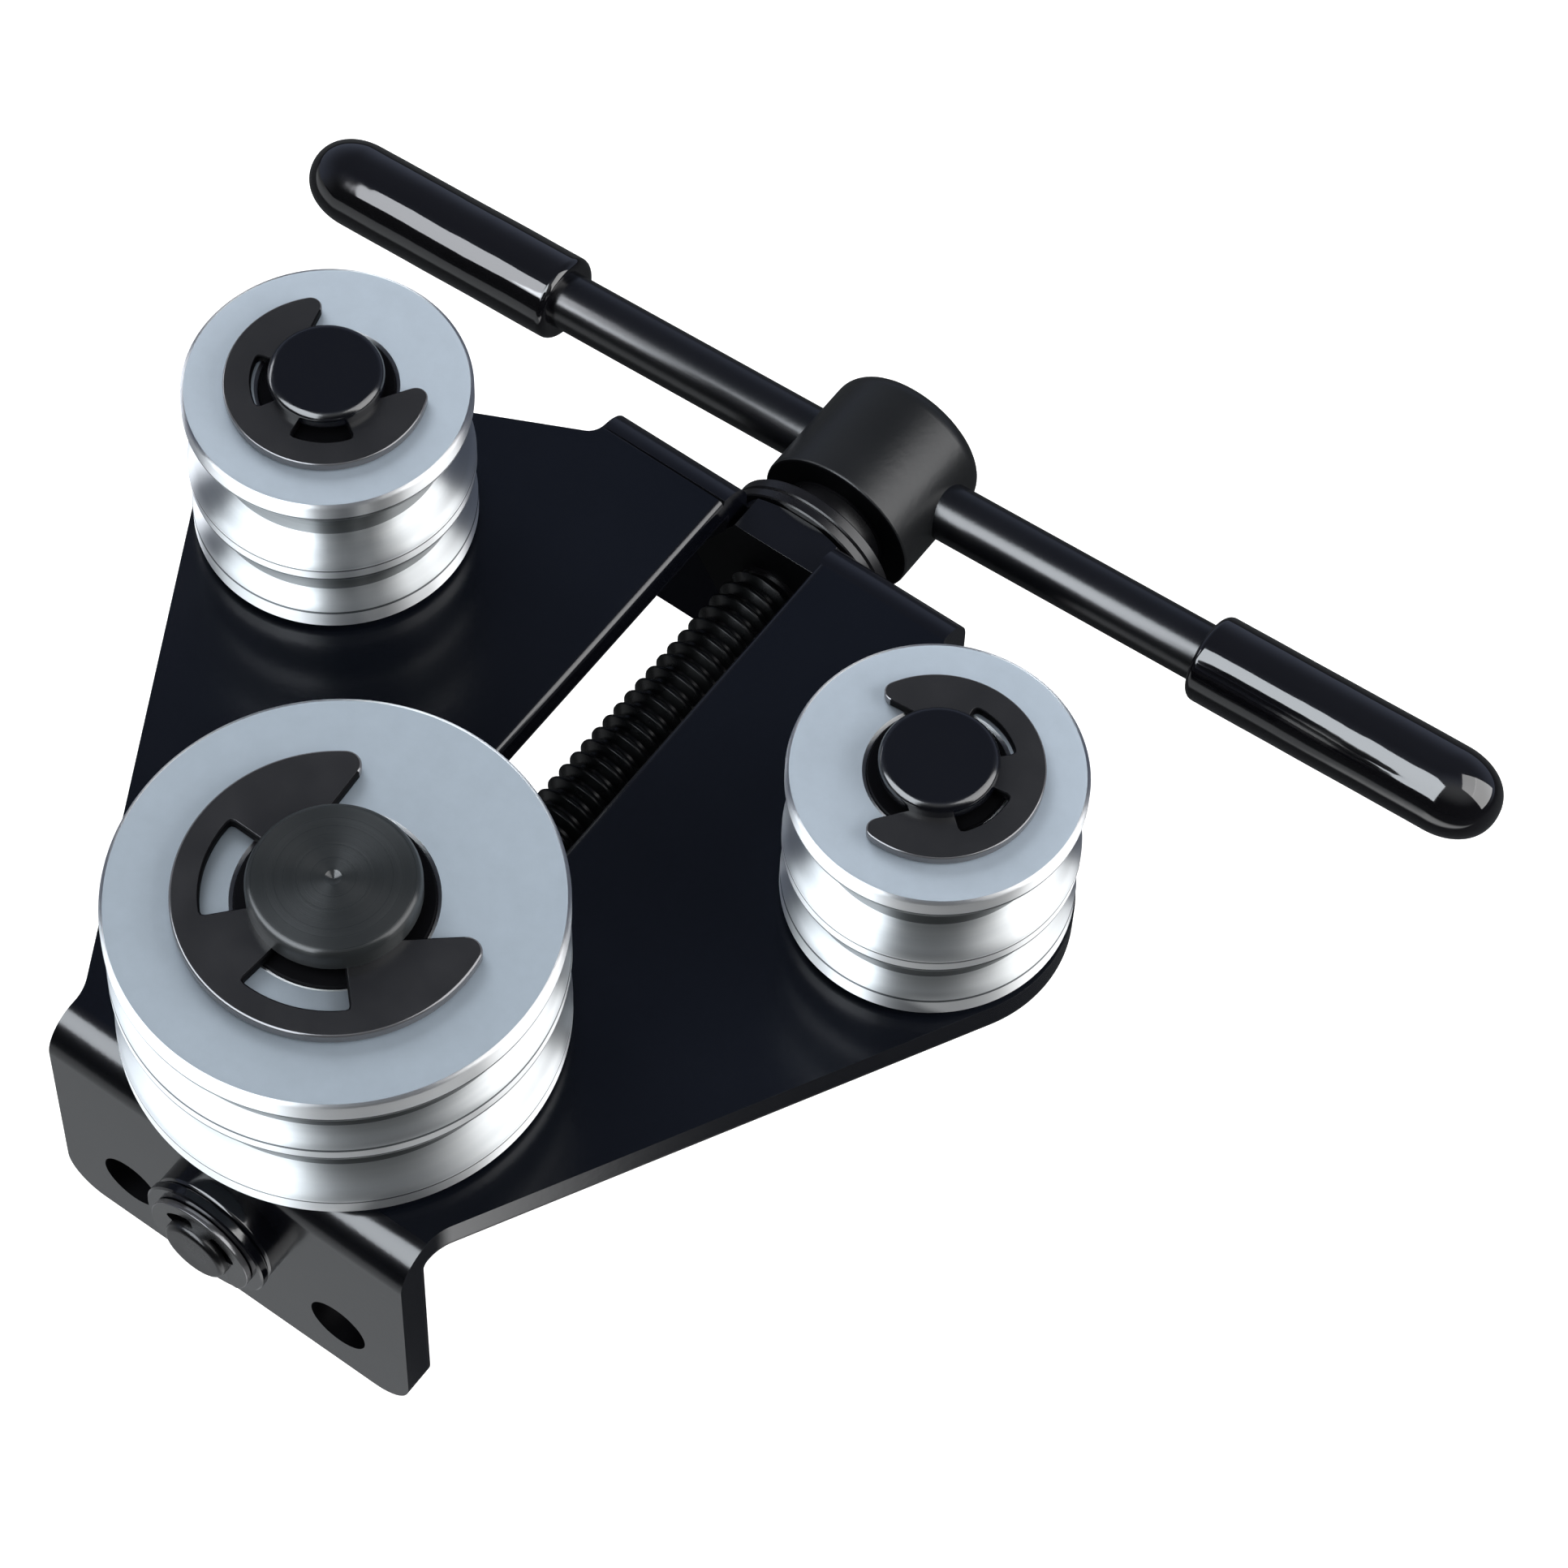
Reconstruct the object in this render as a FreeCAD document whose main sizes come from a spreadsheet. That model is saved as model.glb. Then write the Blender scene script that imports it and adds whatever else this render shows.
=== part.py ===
import FreeCAD, Part
import math
import os
import Sketcher

# Brake pipe bender: a folded steel plate carries two small rollers on fixed pins.
# A lead screw under the plate draws a large roller along a slot, between the small ones.
# Frame: +Z up, +Y from the bolted front flange to the T handle, +X to the right of the screw.
# Origin: on the outer face of the front flange, midway between its two mounting holes.

SIZES = {
    # folded plate
    "sheet_thickness": 4.8,
    "bend_inner_radius": 1.0,
    "holes_below_top": 29.8,
    "front_flange_depth": 41.0,
    "rear_flange_depth": 36.5,
    "flange_width": 59.6,
    "flange_corner_radius": 6.0,
    "plate_length": 128.1,
    "plate_corner_radius": 20.2,
    "front_fillet_radius": 8.0,
    "front_fillet_y": 5.9,
    "rear_fillet_radius": 3.0,
    "rear_fillet_y": 123.1,
    "slot_width": 16.6,
    "mount_hole_dia": 9.2,
    "mount_hole_spacing": 36.0,
    # where the rollers stand
    "large_roller_y": 26.3,
    "pin_line_y": 88.35,
    "pin_spacing": 101.7,
    # rollers
    "small_roller_dia": 40.0,
    "large_roller_dia": 60.6,
    "roller_height": 29.4,
    "roller_chamfer": 0.4,
    "wide_groove_radius": 5.1,
    "wide_groove_depth": 4.65,
    "wide_groove_from_face": 9.15,
    "wide_lip_radius": 1.8,
    "narrow_groove_radius": 3.3,
    "narrow_groove_depth": 2.8,
    "narrow_groove_from_face": 7.7,
    "narrow_lip_radius": 1.7,
    # roller pins and the large roller's axle
    "small_pin_dia": 18.8,
    "small_pin_tip_dia": 16.0,
    "small_pin_spigot_dia": 12.0,
    "small_pin_height": 34.3,
    "small_pin_chamfer": 0.9,
    "rivet_head_dia": 15.0,
    "rivet_head_height": 1.6,
    "rivet_head_chamfer": 1.0,
    "axle_dia": 26.2,
    "axle_tip_dia": 22.9,
    "axle_height": 35.8,
    "axle_chamfer": 1.1,
    "axle_neck_dia": 16.0,
    "axle_spigot_depth": 5.0,
    "centre_mark_dia": 2.2,
    "centre_mark_depth": 0.9,
    # washers under the rollers
    "roller_washer_thickness": 0.9,
    "small_washer_dia": 26.0,
    "large_washer_dia": 36.0,
    # retaining clips on the pins, the axle and the screw
    "small_clip_dia": 28.2,
    "small_clip_thickness": 1.5,
    "small_clip_groove_dia": 13.8,
    "small_clip_window_dia": 20.6,
    "small_clip_tip_radius": 1.6,
    "large_clip_dia": 42.4,
    "large_clip_thickness": 1.75,
    "large_clip_groove_dia": 20.4,
    "large_clip_window_dia": 34.6,
    "large_clip_tip_radius": 2.2,
    "front_clip_dia": 16.3,
    "front_clip_thickness": 1.0,
    "front_clip_groove_dia": 8.0,
    "front_clip_window_dia": 12.4,
    "front_clip_tip_radius": 0.8,
    "clip_tip_angle": 115.0,
    "clip_mouth_angle": 145.0,
    "clip_prong_angle": 39.5,
    "clip_tooth_angle": 37.0,
    "left_clip_direction": 81.4,
    "right_clip_direction": 209.0,
    "large_clip_direction": 67.0,
    "front_clip_direction": 262.0,
    # lead screw
    "screw_below_top": 17.5,
    "thread_dia": 12.7,
    "thread_chamfer": 1.2,
    "front_journal_dia": 10.0,
    "screw_tip_length": 1.4,
    "screw_tip_chamfer": 0.8,
    "rear_journal_dia": 11.0,
    "hub_seat_length": 11.0,
    # bushes and washers on the screw
    "rear_bush_flats": 24.0,
    "rear_bush_length": 6.6,
    "front_bush_dia": 19.4,
    "front_bush_stand": 3.5,
    "front_bush_spigot_dia": 15.0,
    "front_bush_chamfer": 0.5,
    "thrust_washer_dia": 26.8,
    "inner_washer_thickness": 1.6,
    "outer_washer_thickness": 1.9,
    "front_washer_dia": 19.8,
    "front_washer_thickness": 1.5,
    # carriage nut
    "nut_width": 28.0,
    "nut_length": 24.0,
    "nut_height": 24.8,
    "nut_chamfer": 1.0,
    # handle
    "hub_dia": 25.0,
    "hub_length": 20.2,
    "hub_rear_radius": 3.0,
    "hub_front_chamfer": 0.6,
    "hub_neck_dia": 16.0,
    "hub_neck_length": 5.0,
    "bar_dia": 8.8,
    "bar_length": 205.0,
    "bar_from_hub_rear": 9.0,
    "bar_end_radius": 2.0,
    "grip_dia": 13.3,
    "grip_length": 48.0,
    "grip_end_wall": 2.7,
    "grip_nose_radius": 5.4,
    "grip_mouth_radius": 1.2,
    "handle_rest_angle": 4.6,
    # clearances
    "running_clearance": 0.05,
    "face_clearance": 0.1,
    "slide_clearance": 0.3,
}

doc = FreeCAD.newDocument("pipe_bender")
sheet = doc.addObject("Spreadsheet::Sheet", "Sizes")


class Size:
    """A length or angle that knows its value and its spreadsheet expression."""

    def __init__(self, value, text):
        self.value = value
        self.text = text

    def __add__(self, other):
        return joined(self, other, "+", lambda a, b: a + b)

    def __radd__(self, other):
        return joined(other, self, "+", lambda a, b: a + b)

    def __sub__(self, other):
        return joined(self, other, "-", lambda a, b: a - b)

    def __rsub__(self, other):
        return joined(other, self, "-", lambda a, b: a - b)

    def __mul__(self, other):
        return joined(self, other, "*", lambda a, b: a * b)

    def __truediv__(self, other):
        return joined(self, other, "/", lambda a, b: a / b)

    def __neg__(self):
        return joined(0, self, "-", lambda a, b: a - b)


def as_size(number):
    """Wrap a plain number as a Size."""
    if isinstance(number, Size):
        return number
    return Size(float(number), str(number))


def joined(left, right, sign, work):
    """Join two sizes into one value and one expression."""
    left, right = as_size(left), as_size(right)
    return Size(work(left.value, right.value), f"({left.text} {sign} {right.text})")


def root(size):
    """The square root of a size."""
    return Size(math.sqrt(size.value), f"sqrt({size.text})")


def cosine(angle):
    """The cosine of an angle in degrees."""
    return Size(math.cos(math.radians(angle.value)), f"cos({angle.text} * 1 deg)")


def sine(angle):
    """The sine of an angle in degrees."""
    return Size(math.sin(math.radians(angle.value)), f"sin({angle.text} * 1 deg)")


class Sheet:
    """The named sizes, as attributes."""


dim = Sheet()
for row, (alias, number) in enumerate(SIZES.items(), start=1):
    sheet.set(f"A{row}", alias)
    sheet.set(f"B{row}", str(number))
    sheet.setAlias(f"B{row}", alias)
    setattr(dim, alias, Size(number, f"Sizes.{alias}"))
doc.recompute()

# Heights and places that several pieces share
top_z = dim.holes_below_top
screw_z = top_z - dim.screw_below_top
bend_outer_radius = dim.bend_inner_radius + dim.sheet_thickness
pin_x = dim.pin_spacing / 2
rear_inner_y = dim.plate_length - dim.sheet_thickness
roller_bottom = dim.roller_washer_thickness + dim.face_clearance
clip_bottom = roller_bottom + dim.roller_height + dim.face_clearance

# Stations along the screw, from the front clip to the hub
front_washer_y = -dim.front_bush_stand - dim.face_clearance - dim.front_washer_thickness
front_clip_y = front_washer_y - dim.face_clearance - dim.front_clip_thickness
screw_front_y = front_clip_y - dim.screw_tip_length
thread_front_y = dim.sheet_thickness + dim.slide_clearance
thread_rear_y = rear_inner_y - dim.slide_clearance
bush_rear_y = rear_inner_y + dim.rear_bush_length
inner_washer_y = bush_rear_y + dim.face_clearance
outer_washer_y = inner_washer_y + dim.inner_washer_thickness + dim.face_clearance
neck_front_y = outer_washer_y + dim.outer_washer_thickness + dim.face_clearance
hub_front_y = neck_front_y + dim.hub_neck_length
hub_rear_y = hub_front_y + dim.hub_length
bar_y = hub_rear_y - dim.bar_from_hub_rear
shank_rear_y = neck_front_y + dim.hub_seat_length


def bind(item, name, size):
    """Set a property and tie it to the sheet."""
    size = as_size(size)
    setattr(item, name, size.value)
    item.setExpression(name, size.text)


def place(piece, x, y, z, axis=(0, 0, 1), angle=0):
    """Bind a piece's position and its turn about one axis to the sheet."""
    x, y, z, angle = (as_size(size) for size in (x, y, z, angle))
    turn = FreeCAD.Rotation(FreeCAD.Vector(*axis), angle.value)
    piece.Placement = FreeCAD.Placement(FreeCAD.Vector(x.value, y.value, z.value), turn)
    piece.setExpression(".Placement.Base.x", x.text)
    piece.setExpression(".Placement.Base.y", y.text)
    piece.setExpression(".Placement.Base.z", z.text)
    if angle.value:
        piece.setExpression(".Placement.Rotation.Angle", angle.text)


def new_body(label):
    """An empty body whose label names its node."""
    body = doc.addObject("PartDesign::Body", label)
    body.Label = label
    return body


def new_sketch(body, role, name, rise=0):
    """A sketch on one of the body's own origin planes, or raised along that plane's normal."""
    sketch = body.newObject("Sketcher::SketchObject", f"{body.Label}_{name}")
    plane = [item for item in body.Origin.OriginFeatures if item.Role == role][0]
    sketch.AttachmentSupport = (plane, [""])
    sketch.MapMode = "FlatFace"
    rise = as_size(rise)
    if rise.value:
        sketch.AttachmentOffset = FreeCAD.Placement(
            FreeCAD.Vector(0, 0, rise.value), FreeCAD.Rotation()
        )
        sketch.setExpression(".AttachmentOffset.Base.z", rise.text)
    return sketch


def constrain(sketch, kind, *values):
    """Add one constraint whose last value is tied to the sheet."""
    size = as_size(values[-1])
    index = sketch.addConstraint(Sketcher.Constraint(kind, *values[:-1], size.value))
    sketch.setExpression(f"Constraints[{index}]", size.text)


def fix_point(sketch, geometry, vertex, point):
    """Hold a vertex at a point that the sheet gives."""
    constrain(sketch, "DistanceX", -1, 1, geometry, vertex, point[0])
    constrain(sketch, "DistanceY", -1, 1, geometry, vertex, point[1])


def vector(point):
    """A profile point as a vector."""
    return FreeCAD.Vector(as_size(point[0]).value, as_size(point[1]).value, 0)


def short_arc(start, end, radius):
    """The arc from start to end, anticlockwise for a positive radius, else clockwise."""
    middle = (start + end) * 0.5
    run = end - start
    side = FreeCAD.Vector(run.y, -run.x, 0).normalize()
    rise = math.sqrt(radius * radius - run.Length * run.Length / 4)
    centre = middle - side * math.copysign(rise, radius)
    return Part.Arc(start, centre + side * radius, end)


def add_profile(sketch, points):
    """Close a profile; a third entry in a point is the radius of the arc to the next one."""
    base = sketch.GeometryCount
    count = len(points)
    radii = [as_size(point[2]) if len(point) == 3 else None for point in points]
    corners = [vector(point) for point in points]
    for index, radius in enumerate(radii):
        start, end = corners[index], corners[(index + 1) % count]
        curve = short_arc(start, end, radius.value) if radius else Part.LineSegment(start, end)
        sketch.addGeometry(curve, False)
    ends = [(2, 1) if radius and radius.value < 0 else (1, 2) for radius in radii]
    for index, point in enumerate(points):
        following = (index + 1) % count
        sketch.addConstraint(Sketcher.Constraint(
            "Coincident", base + index, ends[index][1], base + following, ends[following][0]
        ))
        fix_point(sketch, base + index, ends[index][0], point)
        if radii[index]:
            size = radii[index] if radii[index].value > 0 else -radii[index]
            constrain(sketch, "Radius", base + index, size)


def add_circle(sketch, x, y, diameter):
    """A circle with its centre and diameter tied to the sheet."""
    index = sketch.GeometryCount
    radius = as_size(diameter).value / 2
    sketch.addGeometry(Part.Circle(vector((x, y)), FreeCAD.Vector(0, 0, 1), radius), False)
    fix_point(sketch, index, 3, (x, y))
    constrain(sketch, "Diameter", index, diameter)


def revolve(body, sketch, axis):
    """Turn a profile fully about one axis of its sketch."""
    turned = body.newObject("PartDesign::Revolution", f"{sketch.Name}_turned")
    turned.Profile = sketch
    turned.ReferenceAxis = (sketch, [axis])
    turned.Angle = 360


def extrude(kind, body, sketch, length, symmetric=True):
    """A pad or a pocket of a set length, to both sides or along the sketch's normal."""
    item = body.newObject(f"PartDesign::{kind}", f"{sketch.Name}_{kind.lower()}")
    item.Profile = sketch
    if symmetric:
        item.SideType = "Symmetric"
    elif kind == "Pocket":
        item.Reversed = True
    bind(item, "Length", length)
    return item


def turned_upright(label, points, x, y, z):
    """A piece turned about a standing axis; profile points are radius and height."""
    body = new_body(label)
    sketch = new_sketch(body, "XZ_Plane", "profile")
    add_profile(sketch, points)
    revolve(body, sketch, "V_Axis")
    place(body, x, y, z)
    return body


def turned_on_screw(label, points):
    """A piece turned about the screw's axis; profile points are radius and station."""
    body = new_body(label)
    sketch = new_sketch(body, "XY_Plane", "profile")
    add_profile(sketch, points)
    revolve(body, sketch, "V_Axis")
    place(body, 0, 0, screw_z)
    return body


def ring(bore, outside, low, high):
    """The profile of a plain ring."""
    return [(bore / 2, low), (outside / 2, low), (outside / 2, high), (bore / 2, high)]


def mirrored(points):
    """The same profile on the other side of the vertical axis."""
    return [(-point[0], point[1]) + tuple(-radius for radius in point[2:]) for point in points]


def hexagon(flats, centre):
    """A hexagon with a flat on top; flats is the width across them."""
    half = flats / 2
    reach = flats / math.sqrt(3)
    return [
        (reach, centre),
        (reach / 2, centre + half),
        (-reach / 2, centre + half),
        (-reach, centre),
        (-reach / 2, centre - half),
        (reach / 2, centre - half),
    ]


def tangent_normal(hollow, hollow_radius, crown, crown_radius, turn):
    """The outward normal of the line that leaves a hollow arc and runs onto a crowned one."""
    across = crown[0] - hollow[0]
    along = crown[1] - hollow[1]
    length = root(across * across + along * along)
    inward = (hollow_radius + crown_radius) / length
    sideways = root(1 - inward * inward) * turn
    return (
        (-(inward * across) + sideways * along) / length,
        (-(inward * along) - sideways * across) / length,
    )


def offset_point(centre, normal, distance):
    """A point at a distance from a centre along a normal."""
    return centre[0] + normal[0] * distance, centre[1] + normal[1] * distance


def touch_point(start, centre, radius):
    """Where a line from a start touches a circle, on its right as seen from the start."""
    across = centre[0] - start[0]
    along = centre[1] - start[1]
    square = across * across + along * along
    back = radius * radius / square
    sideways = radius * root(square - radius * radius) / square
    return (
        centre[0] - across * back + along * sideways,
        centre[1] - along * back - across * sideways,
    )


# Folded plate
base_plate = new_body("base_plate")
fold = new_sketch(base_plate, "YZ_Plane", "fold")
bend_z = top_z - bend_outer_radius
under_z = top_z - dim.sheet_thickness
add_profile(fold, [
    (0, top_z - dim.front_flange_depth),
    (0, bend_z, -bend_outer_radius),
    (bend_outer_radius, top_z),
    (dim.plate_length - bend_outer_radius, top_z, -bend_outer_radius),
    (dim.plate_length, bend_z),
    (dim.plate_length, top_z - dim.rear_flange_depth),
    (rear_inner_y, top_z - dim.rear_flange_depth),
    (rear_inner_y, bend_z, dim.bend_inner_radius),
    (dim.plate_length - bend_outer_radius, under_z),
    (bend_outer_radius, under_z, dim.bend_inner_radius),
    (dim.sheet_thickness, bend_z),
    (dim.sheet_thickness, top_z - dim.front_flange_depth),
])
plate_width = dim.pin_spacing + dim.plate_corner_radius * 2
extrude("Pad", base_plate, fold, plate_width)

# The outline in plan: narrow at both flanges and rounded about each small roller's pin
side_x = dim.flange_width / 2
front_centre = (side_x + dim.front_fillet_radius, dim.front_fillet_y)
rear_centre = (side_x + dim.rear_fillet_radius, dim.rear_fillet_y)
pin_centre = (pin_x, dim.pin_line_y)
flare = tangent_normal(
    front_centre, dim.front_fillet_radius, pin_centre, dim.plate_corner_radius, 1
)
slant = tangent_normal(
    rear_centre, dim.rear_fillet_radius, pin_centre, dim.plate_corner_radius, -1
)
waste = [
    (side_x, -dim.sheet_thickness),
    (side_x, dim.front_fillet_y, -dim.front_fillet_radius),
    offset_point(front_centre, flare, -dim.front_fillet_radius),
    offset_point(pin_centre, flare, dim.plate_corner_radius) + (dim.plate_corner_radius,),
    offset_point(pin_centre, slant, dim.plate_corner_radius),
    offset_point(rear_centre, slant, -dim.rear_fillet_radius) + (-dim.rear_fillet_radius,),
    (side_x, dim.rear_fillet_y),
    (side_x, dim.plate_length + dim.sheet_thickness),
    (plate_width, dim.plate_length + dim.sheet_thickness),
    (plate_width, -dim.sheet_thickness),
]
plan = new_sketch(base_plate, "XY_Plane", "plan")
add_profile(plan, waste)
add_profile(plan, mirrored(waste))
extrude("Pocket", base_plate, plan, dim.front_flange_depth * 4)

# The slot, open through the rear bend down to the screw's level
slot = new_sketch(base_plate, "XY_Plane", "slot", screw_z)
slot_side = dim.slot_width / 2
add_profile(slot, [
    (-slot_side, dim.large_roller_y, slot_side),
    (0, dim.large_roller_y - slot_side, slot_side),
    (slot_side, dim.large_roller_y),
    (slot_side, dim.plate_length + dim.sheet_thickness),
    (-slot_side, dim.plate_length + dim.sheet_thickness),
])
extrude("Pocket", base_plate, slot, dim.screw_below_top * 2, symmetric=False)

# The seat of the rear bush, the roller pin holes and the front flange's three holes
bush_seat = new_sketch(
    base_plate, "XZ_Plane", "bush_seat", dim.sheet_thickness / 2 - dim.plate_length
)
add_profile(bush_seat, hexagon(dim.rear_bush_flats, screw_z))
extrude("Pocket", base_plate, bush_seat, dim.sheet_thickness)
pin_holes = new_sketch(base_plate, "XY_Plane", "pin_holes", top_z)
add_circle(pin_holes, -pin_x, dim.pin_line_y, dim.small_pin_spigot_dia)
add_circle(pin_holes, pin_x, dim.pin_line_y, dim.small_pin_spigot_dia)
extrude("Pocket", base_plate, pin_holes, dim.sheet_thickness * 4)
flange_holes = new_sketch(base_plate, "XZ_Plane", "flange_holes")
add_circle(flange_holes, -dim.mount_hole_spacing / 2, 0, dim.mount_hole_dia)
add_circle(flange_holes, dim.mount_hole_spacing / 2, 0, dim.mount_hole_dia)
add_circle(flange_holes, 0, screw_z, dim.front_bush_spigot_dia)
cut = extrude("Pocket", base_plate, flange_holes, dim.sheet_thickness * 4)
doc.recompute()
corners = []
for index, edge in enumerate(cut.Shape.Edges, start=1):
    box = edge.BoundBox
    low = box.ZMax < (top_z - bend_outer_radius - dim.rear_bush_flats).value
    if low and box.YLength > 1 and box.XLength < 0.01 and box.ZLength < 0.01:
        corners.append(f"Edge{index}")
rounding = base_plate.newObject("PartDesign::Fillet", "base_plate_flange_corners")
rounding.Base = (cut, corners)
bind(rounding, "Radius", dim.flange_corner_radius)


def groove(outside, centre, radius, depth, lip):
    """A round groove with rounded lips, drawn upward along a roller's outside."""
    reach = radius + lip
    inset = radius - depth + lip
    span = root(reach * reach - inset * inset)
    meet = outside - lip + inset * lip / reach
    half = span * radius / reach
    return [
        (outside, centre - span, lip),
        (meet, centre - half, -radius),
        (meet, centre + half, lip),
        (outside, centre + span),
    ]


def roller(label, diameter, bore, wide_groove_up, x, y):
    """A roller with a wide and a narrow pipe groove."""
    outside = diameter / 2
    inside = bore / 2
    height = dim.roller_height
    edge = dim.roller_chamfer
    wide = (dim.wide_groove_radius, dim.wide_groove_depth, dim.wide_lip_radius)
    narrow = (dim.narrow_groove_radius, dim.narrow_groove_depth, dim.narrow_lip_radius)
    if wide_groove_up:
        lower = groove(outside, dim.narrow_groove_from_face, *narrow)
        upper = groove(outside, height - dim.wide_groove_from_face, *wide)
    else:
        lower = groove(outside, dim.wide_groove_from_face, *wide)
        upper = groove(outside, height - dim.narrow_groove_from_face, *narrow)
    points = [(inside, edge), (inside + edge, 0), (outside - edge, 0), (outside, edge)]
    points += lower + upper
    points += [
        (outside, height - edge),
        (outside - edge, height),
        (inside + edge, height),
        (inside, height - edge),
    ]
    return turned_upright(label, points, x, y, top_z + roller_bottom)


def clip(label, plane, outside, window, seat, thickness, tip):
    """A three-toothed retaining clip that opens along X."""
    body = new_body(label)
    sketch = new_sketch(body, plane, "outline")
    outer, hollow, inner = outside / 2, window / 2, seat / 2
    nose = dim.clip_tip_angle / 2
    mouth = dim.clip_mouth_angle / 2
    prong = mouth + dim.clip_prong_angle
    tooth = 180 - dim.clip_tooth_angle / 2

    def polar(distance, angle, side):
        return distance * cosine(angle), distance * sine(angle) * side

    tip_x, tip_y = touch_point(polar(inner, mouth, 1), polar(outer - tip, nose, 1), tip)
    add_profile(sketch, [
        (tip_x, tip_y, tip),
        polar(outer, nose, 1) + (outer,),
        (-outer, 0, outer),
        polar(outer, nose, -1) + (tip,),
        (tip_x, -tip_y),
        polar(inner, mouth, -1) + (-inner,),
        polar(inner, prong, -1),
        polar(hollow, prong, -1) + (-hollow,),
        polar(hollow, tooth, -1),
        polar(inner, tooth, -1) + (-inner,),
        polar(inner, tooth, 1),
        polar(hollow, tooth, 1) + (-hollow,),
        polar(hollow, prong, 1),
        polar(inner, prong, 1) + (-inner,),
        polar(inner, mouth, 1),
    ])
    extrude("Pad", body, sketch, thickness, symmetric=False)
    return body


# Small rollers on pins riveted into the plate, each over a thin washer and under a clip
small_clip_top = clip_bottom + dim.small_clip_thickness
rivet_z = -dim.sheet_thickness - dim.rivet_head_height
for side, sign, direction in (
    ("left", -1, dim.left_clip_direction),
    ("right", 1, dim.right_clip_direction),
):
    centre_x = pin_x * sign
    turned_upright(f"{side}_roller_pin", [
        (0, rivet_z),
        (dim.rivet_head_dia / 2 - dim.rivet_head_chamfer, rivet_z),
        (dim.rivet_head_dia / 2, rivet_z + dim.rivet_head_chamfer),
        (dim.rivet_head_dia / 2, -dim.sheet_thickness),
        (dim.small_pin_spigot_dia / 2, -dim.sheet_thickness),
        (dim.small_pin_spigot_dia / 2, 0),
        (dim.small_pin_dia / 2, 0),
        (dim.small_pin_dia / 2, clip_bottom),
        (dim.small_clip_groove_dia / 2, clip_bottom),
        (dim.small_clip_groove_dia / 2, small_clip_top),
        (dim.small_pin_tip_dia / 2, small_clip_top),
        (dim.small_pin_tip_dia / 2, dim.small_pin_height - dim.small_pin_chamfer),
        (dim.small_pin_tip_dia / 2 - dim.small_pin_chamfer, dim.small_pin_height),
        (0, dim.small_pin_height),
    ], centre_x, dim.pin_line_y, top_z)
    turned_upright(
        f"{side}_roller_washer",
        ring(dim.small_pin_dia, dim.small_washer_dia, 0, dim.roller_washer_thickness),
        centre_x, dim.pin_line_y, top_z,
    )
    roller(
        f"{side}_roller", dim.small_roller_dia,
        dim.small_pin_dia + dim.running_clearance * 2, True, centre_x, dim.pin_line_y,
    )
    roller_clip = clip(
        f"{side}_roller_clip", "XY_Plane", dim.small_clip_dia, dim.small_clip_window_dia,
        dim.small_clip_groove_dia, dim.small_clip_thickness, dim.small_clip_tip_radius,
    )
    place(
        roller_clip, centre_x, dim.pin_line_y, top_z + clip_bottom, (0, 0, 1), direction
    )

# Large roller on the carriage's axle, turned over so that its narrow groove is on top
large_clip_top = clip_bottom + dim.large_clip_thickness
washer_gap = dim.face_clearance / 2
nut_top = dim.nut_height / 2 - dim.screw_below_top
turned_upright("large_roller_axle", [
    (0, nut_top - dim.axle_spigot_depth),
    (dim.axle_neck_dia / 2, nut_top - dim.axle_spigot_depth),
    (dim.axle_neck_dia / 2, washer_gap),
    (dim.axle_dia / 2, washer_gap),
    (dim.axle_dia / 2, clip_bottom),
    (dim.large_clip_groove_dia / 2, clip_bottom),
    (dim.large_clip_groove_dia / 2, large_clip_top),
    (dim.axle_tip_dia / 2, large_clip_top),
    (dim.axle_tip_dia / 2, dim.axle_height - dim.axle_chamfer),
    (dim.axle_tip_dia / 2 - dim.axle_chamfer, dim.axle_height),
    (dim.centre_mark_dia / 2, dim.axle_height),
    (0, dim.axle_height - dim.centre_mark_depth),
], 0, dim.large_roller_y, top_z)
turned_upright(
    "large_roller_washer",
    ring(
        dim.axle_dia, dim.large_washer_dia, washer_gap,
        washer_gap + dim.roller_washer_thickness,
    ),
    0, dim.large_roller_y, top_z,
)
roller(
    "large_roller", dim.large_roller_dia, dim.axle_dia + dim.running_clearance * 2, False,
    0, dim.large_roller_y,
)
large_clip = clip(
    "large_roller_clip", "XY_Plane", dim.large_clip_dia, dim.large_clip_window_dia,
    dim.large_clip_groove_dia, dim.large_clip_thickness, dim.large_clip_tip_radius,
)
place(
    large_clip, 0, dim.large_roller_y, top_z + clip_bottom, (0, 0, 1),
    dim.large_clip_direction,
)

# Carriage nut under the plate, driven along by the screw
carriage_nut = new_body("carriage_nut")
nut_plan = new_sketch(carriage_nut, "XZ_Plane", "end")
half_width = dim.nut_width / 2
half_height = dim.nut_height / 2
add_profile(nut_plan, [
    (half_width, half_height - dim.nut_chamfer),
    (half_width - dim.nut_chamfer, half_height),
    (dim.nut_chamfer - half_width, half_height),
    (-half_width, half_height - dim.nut_chamfer),
    (-half_width, dim.nut_chamfer - half_height),
    (dim.nut_chamfer - half_width, -half_height),
    (half_width - dim.nut_chamfer, -half_height),
    (half_width, dim.nut_chamfer - half_height),
])
add_circle(nut_plan, 0, 0, dim.thread_dia + dim.running_clearance * 2)
extrude("Pad", carriage_nut, nut_plan, dim.nut_length)
socket = new_sketch(
    carriage_nut, "XY_Plane", "axle_socket", half_height - dim.axle_spigot_depth
)
add_circle(socket, 0, 0, dim.axle_neck_dia)
extrude("Pocket", carriage_nut, socket, dim.axle_spigot_depth * 2, symmetric=False)
place(carriage_nut, 0, dim.large_roller_y, screw_z)

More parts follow.
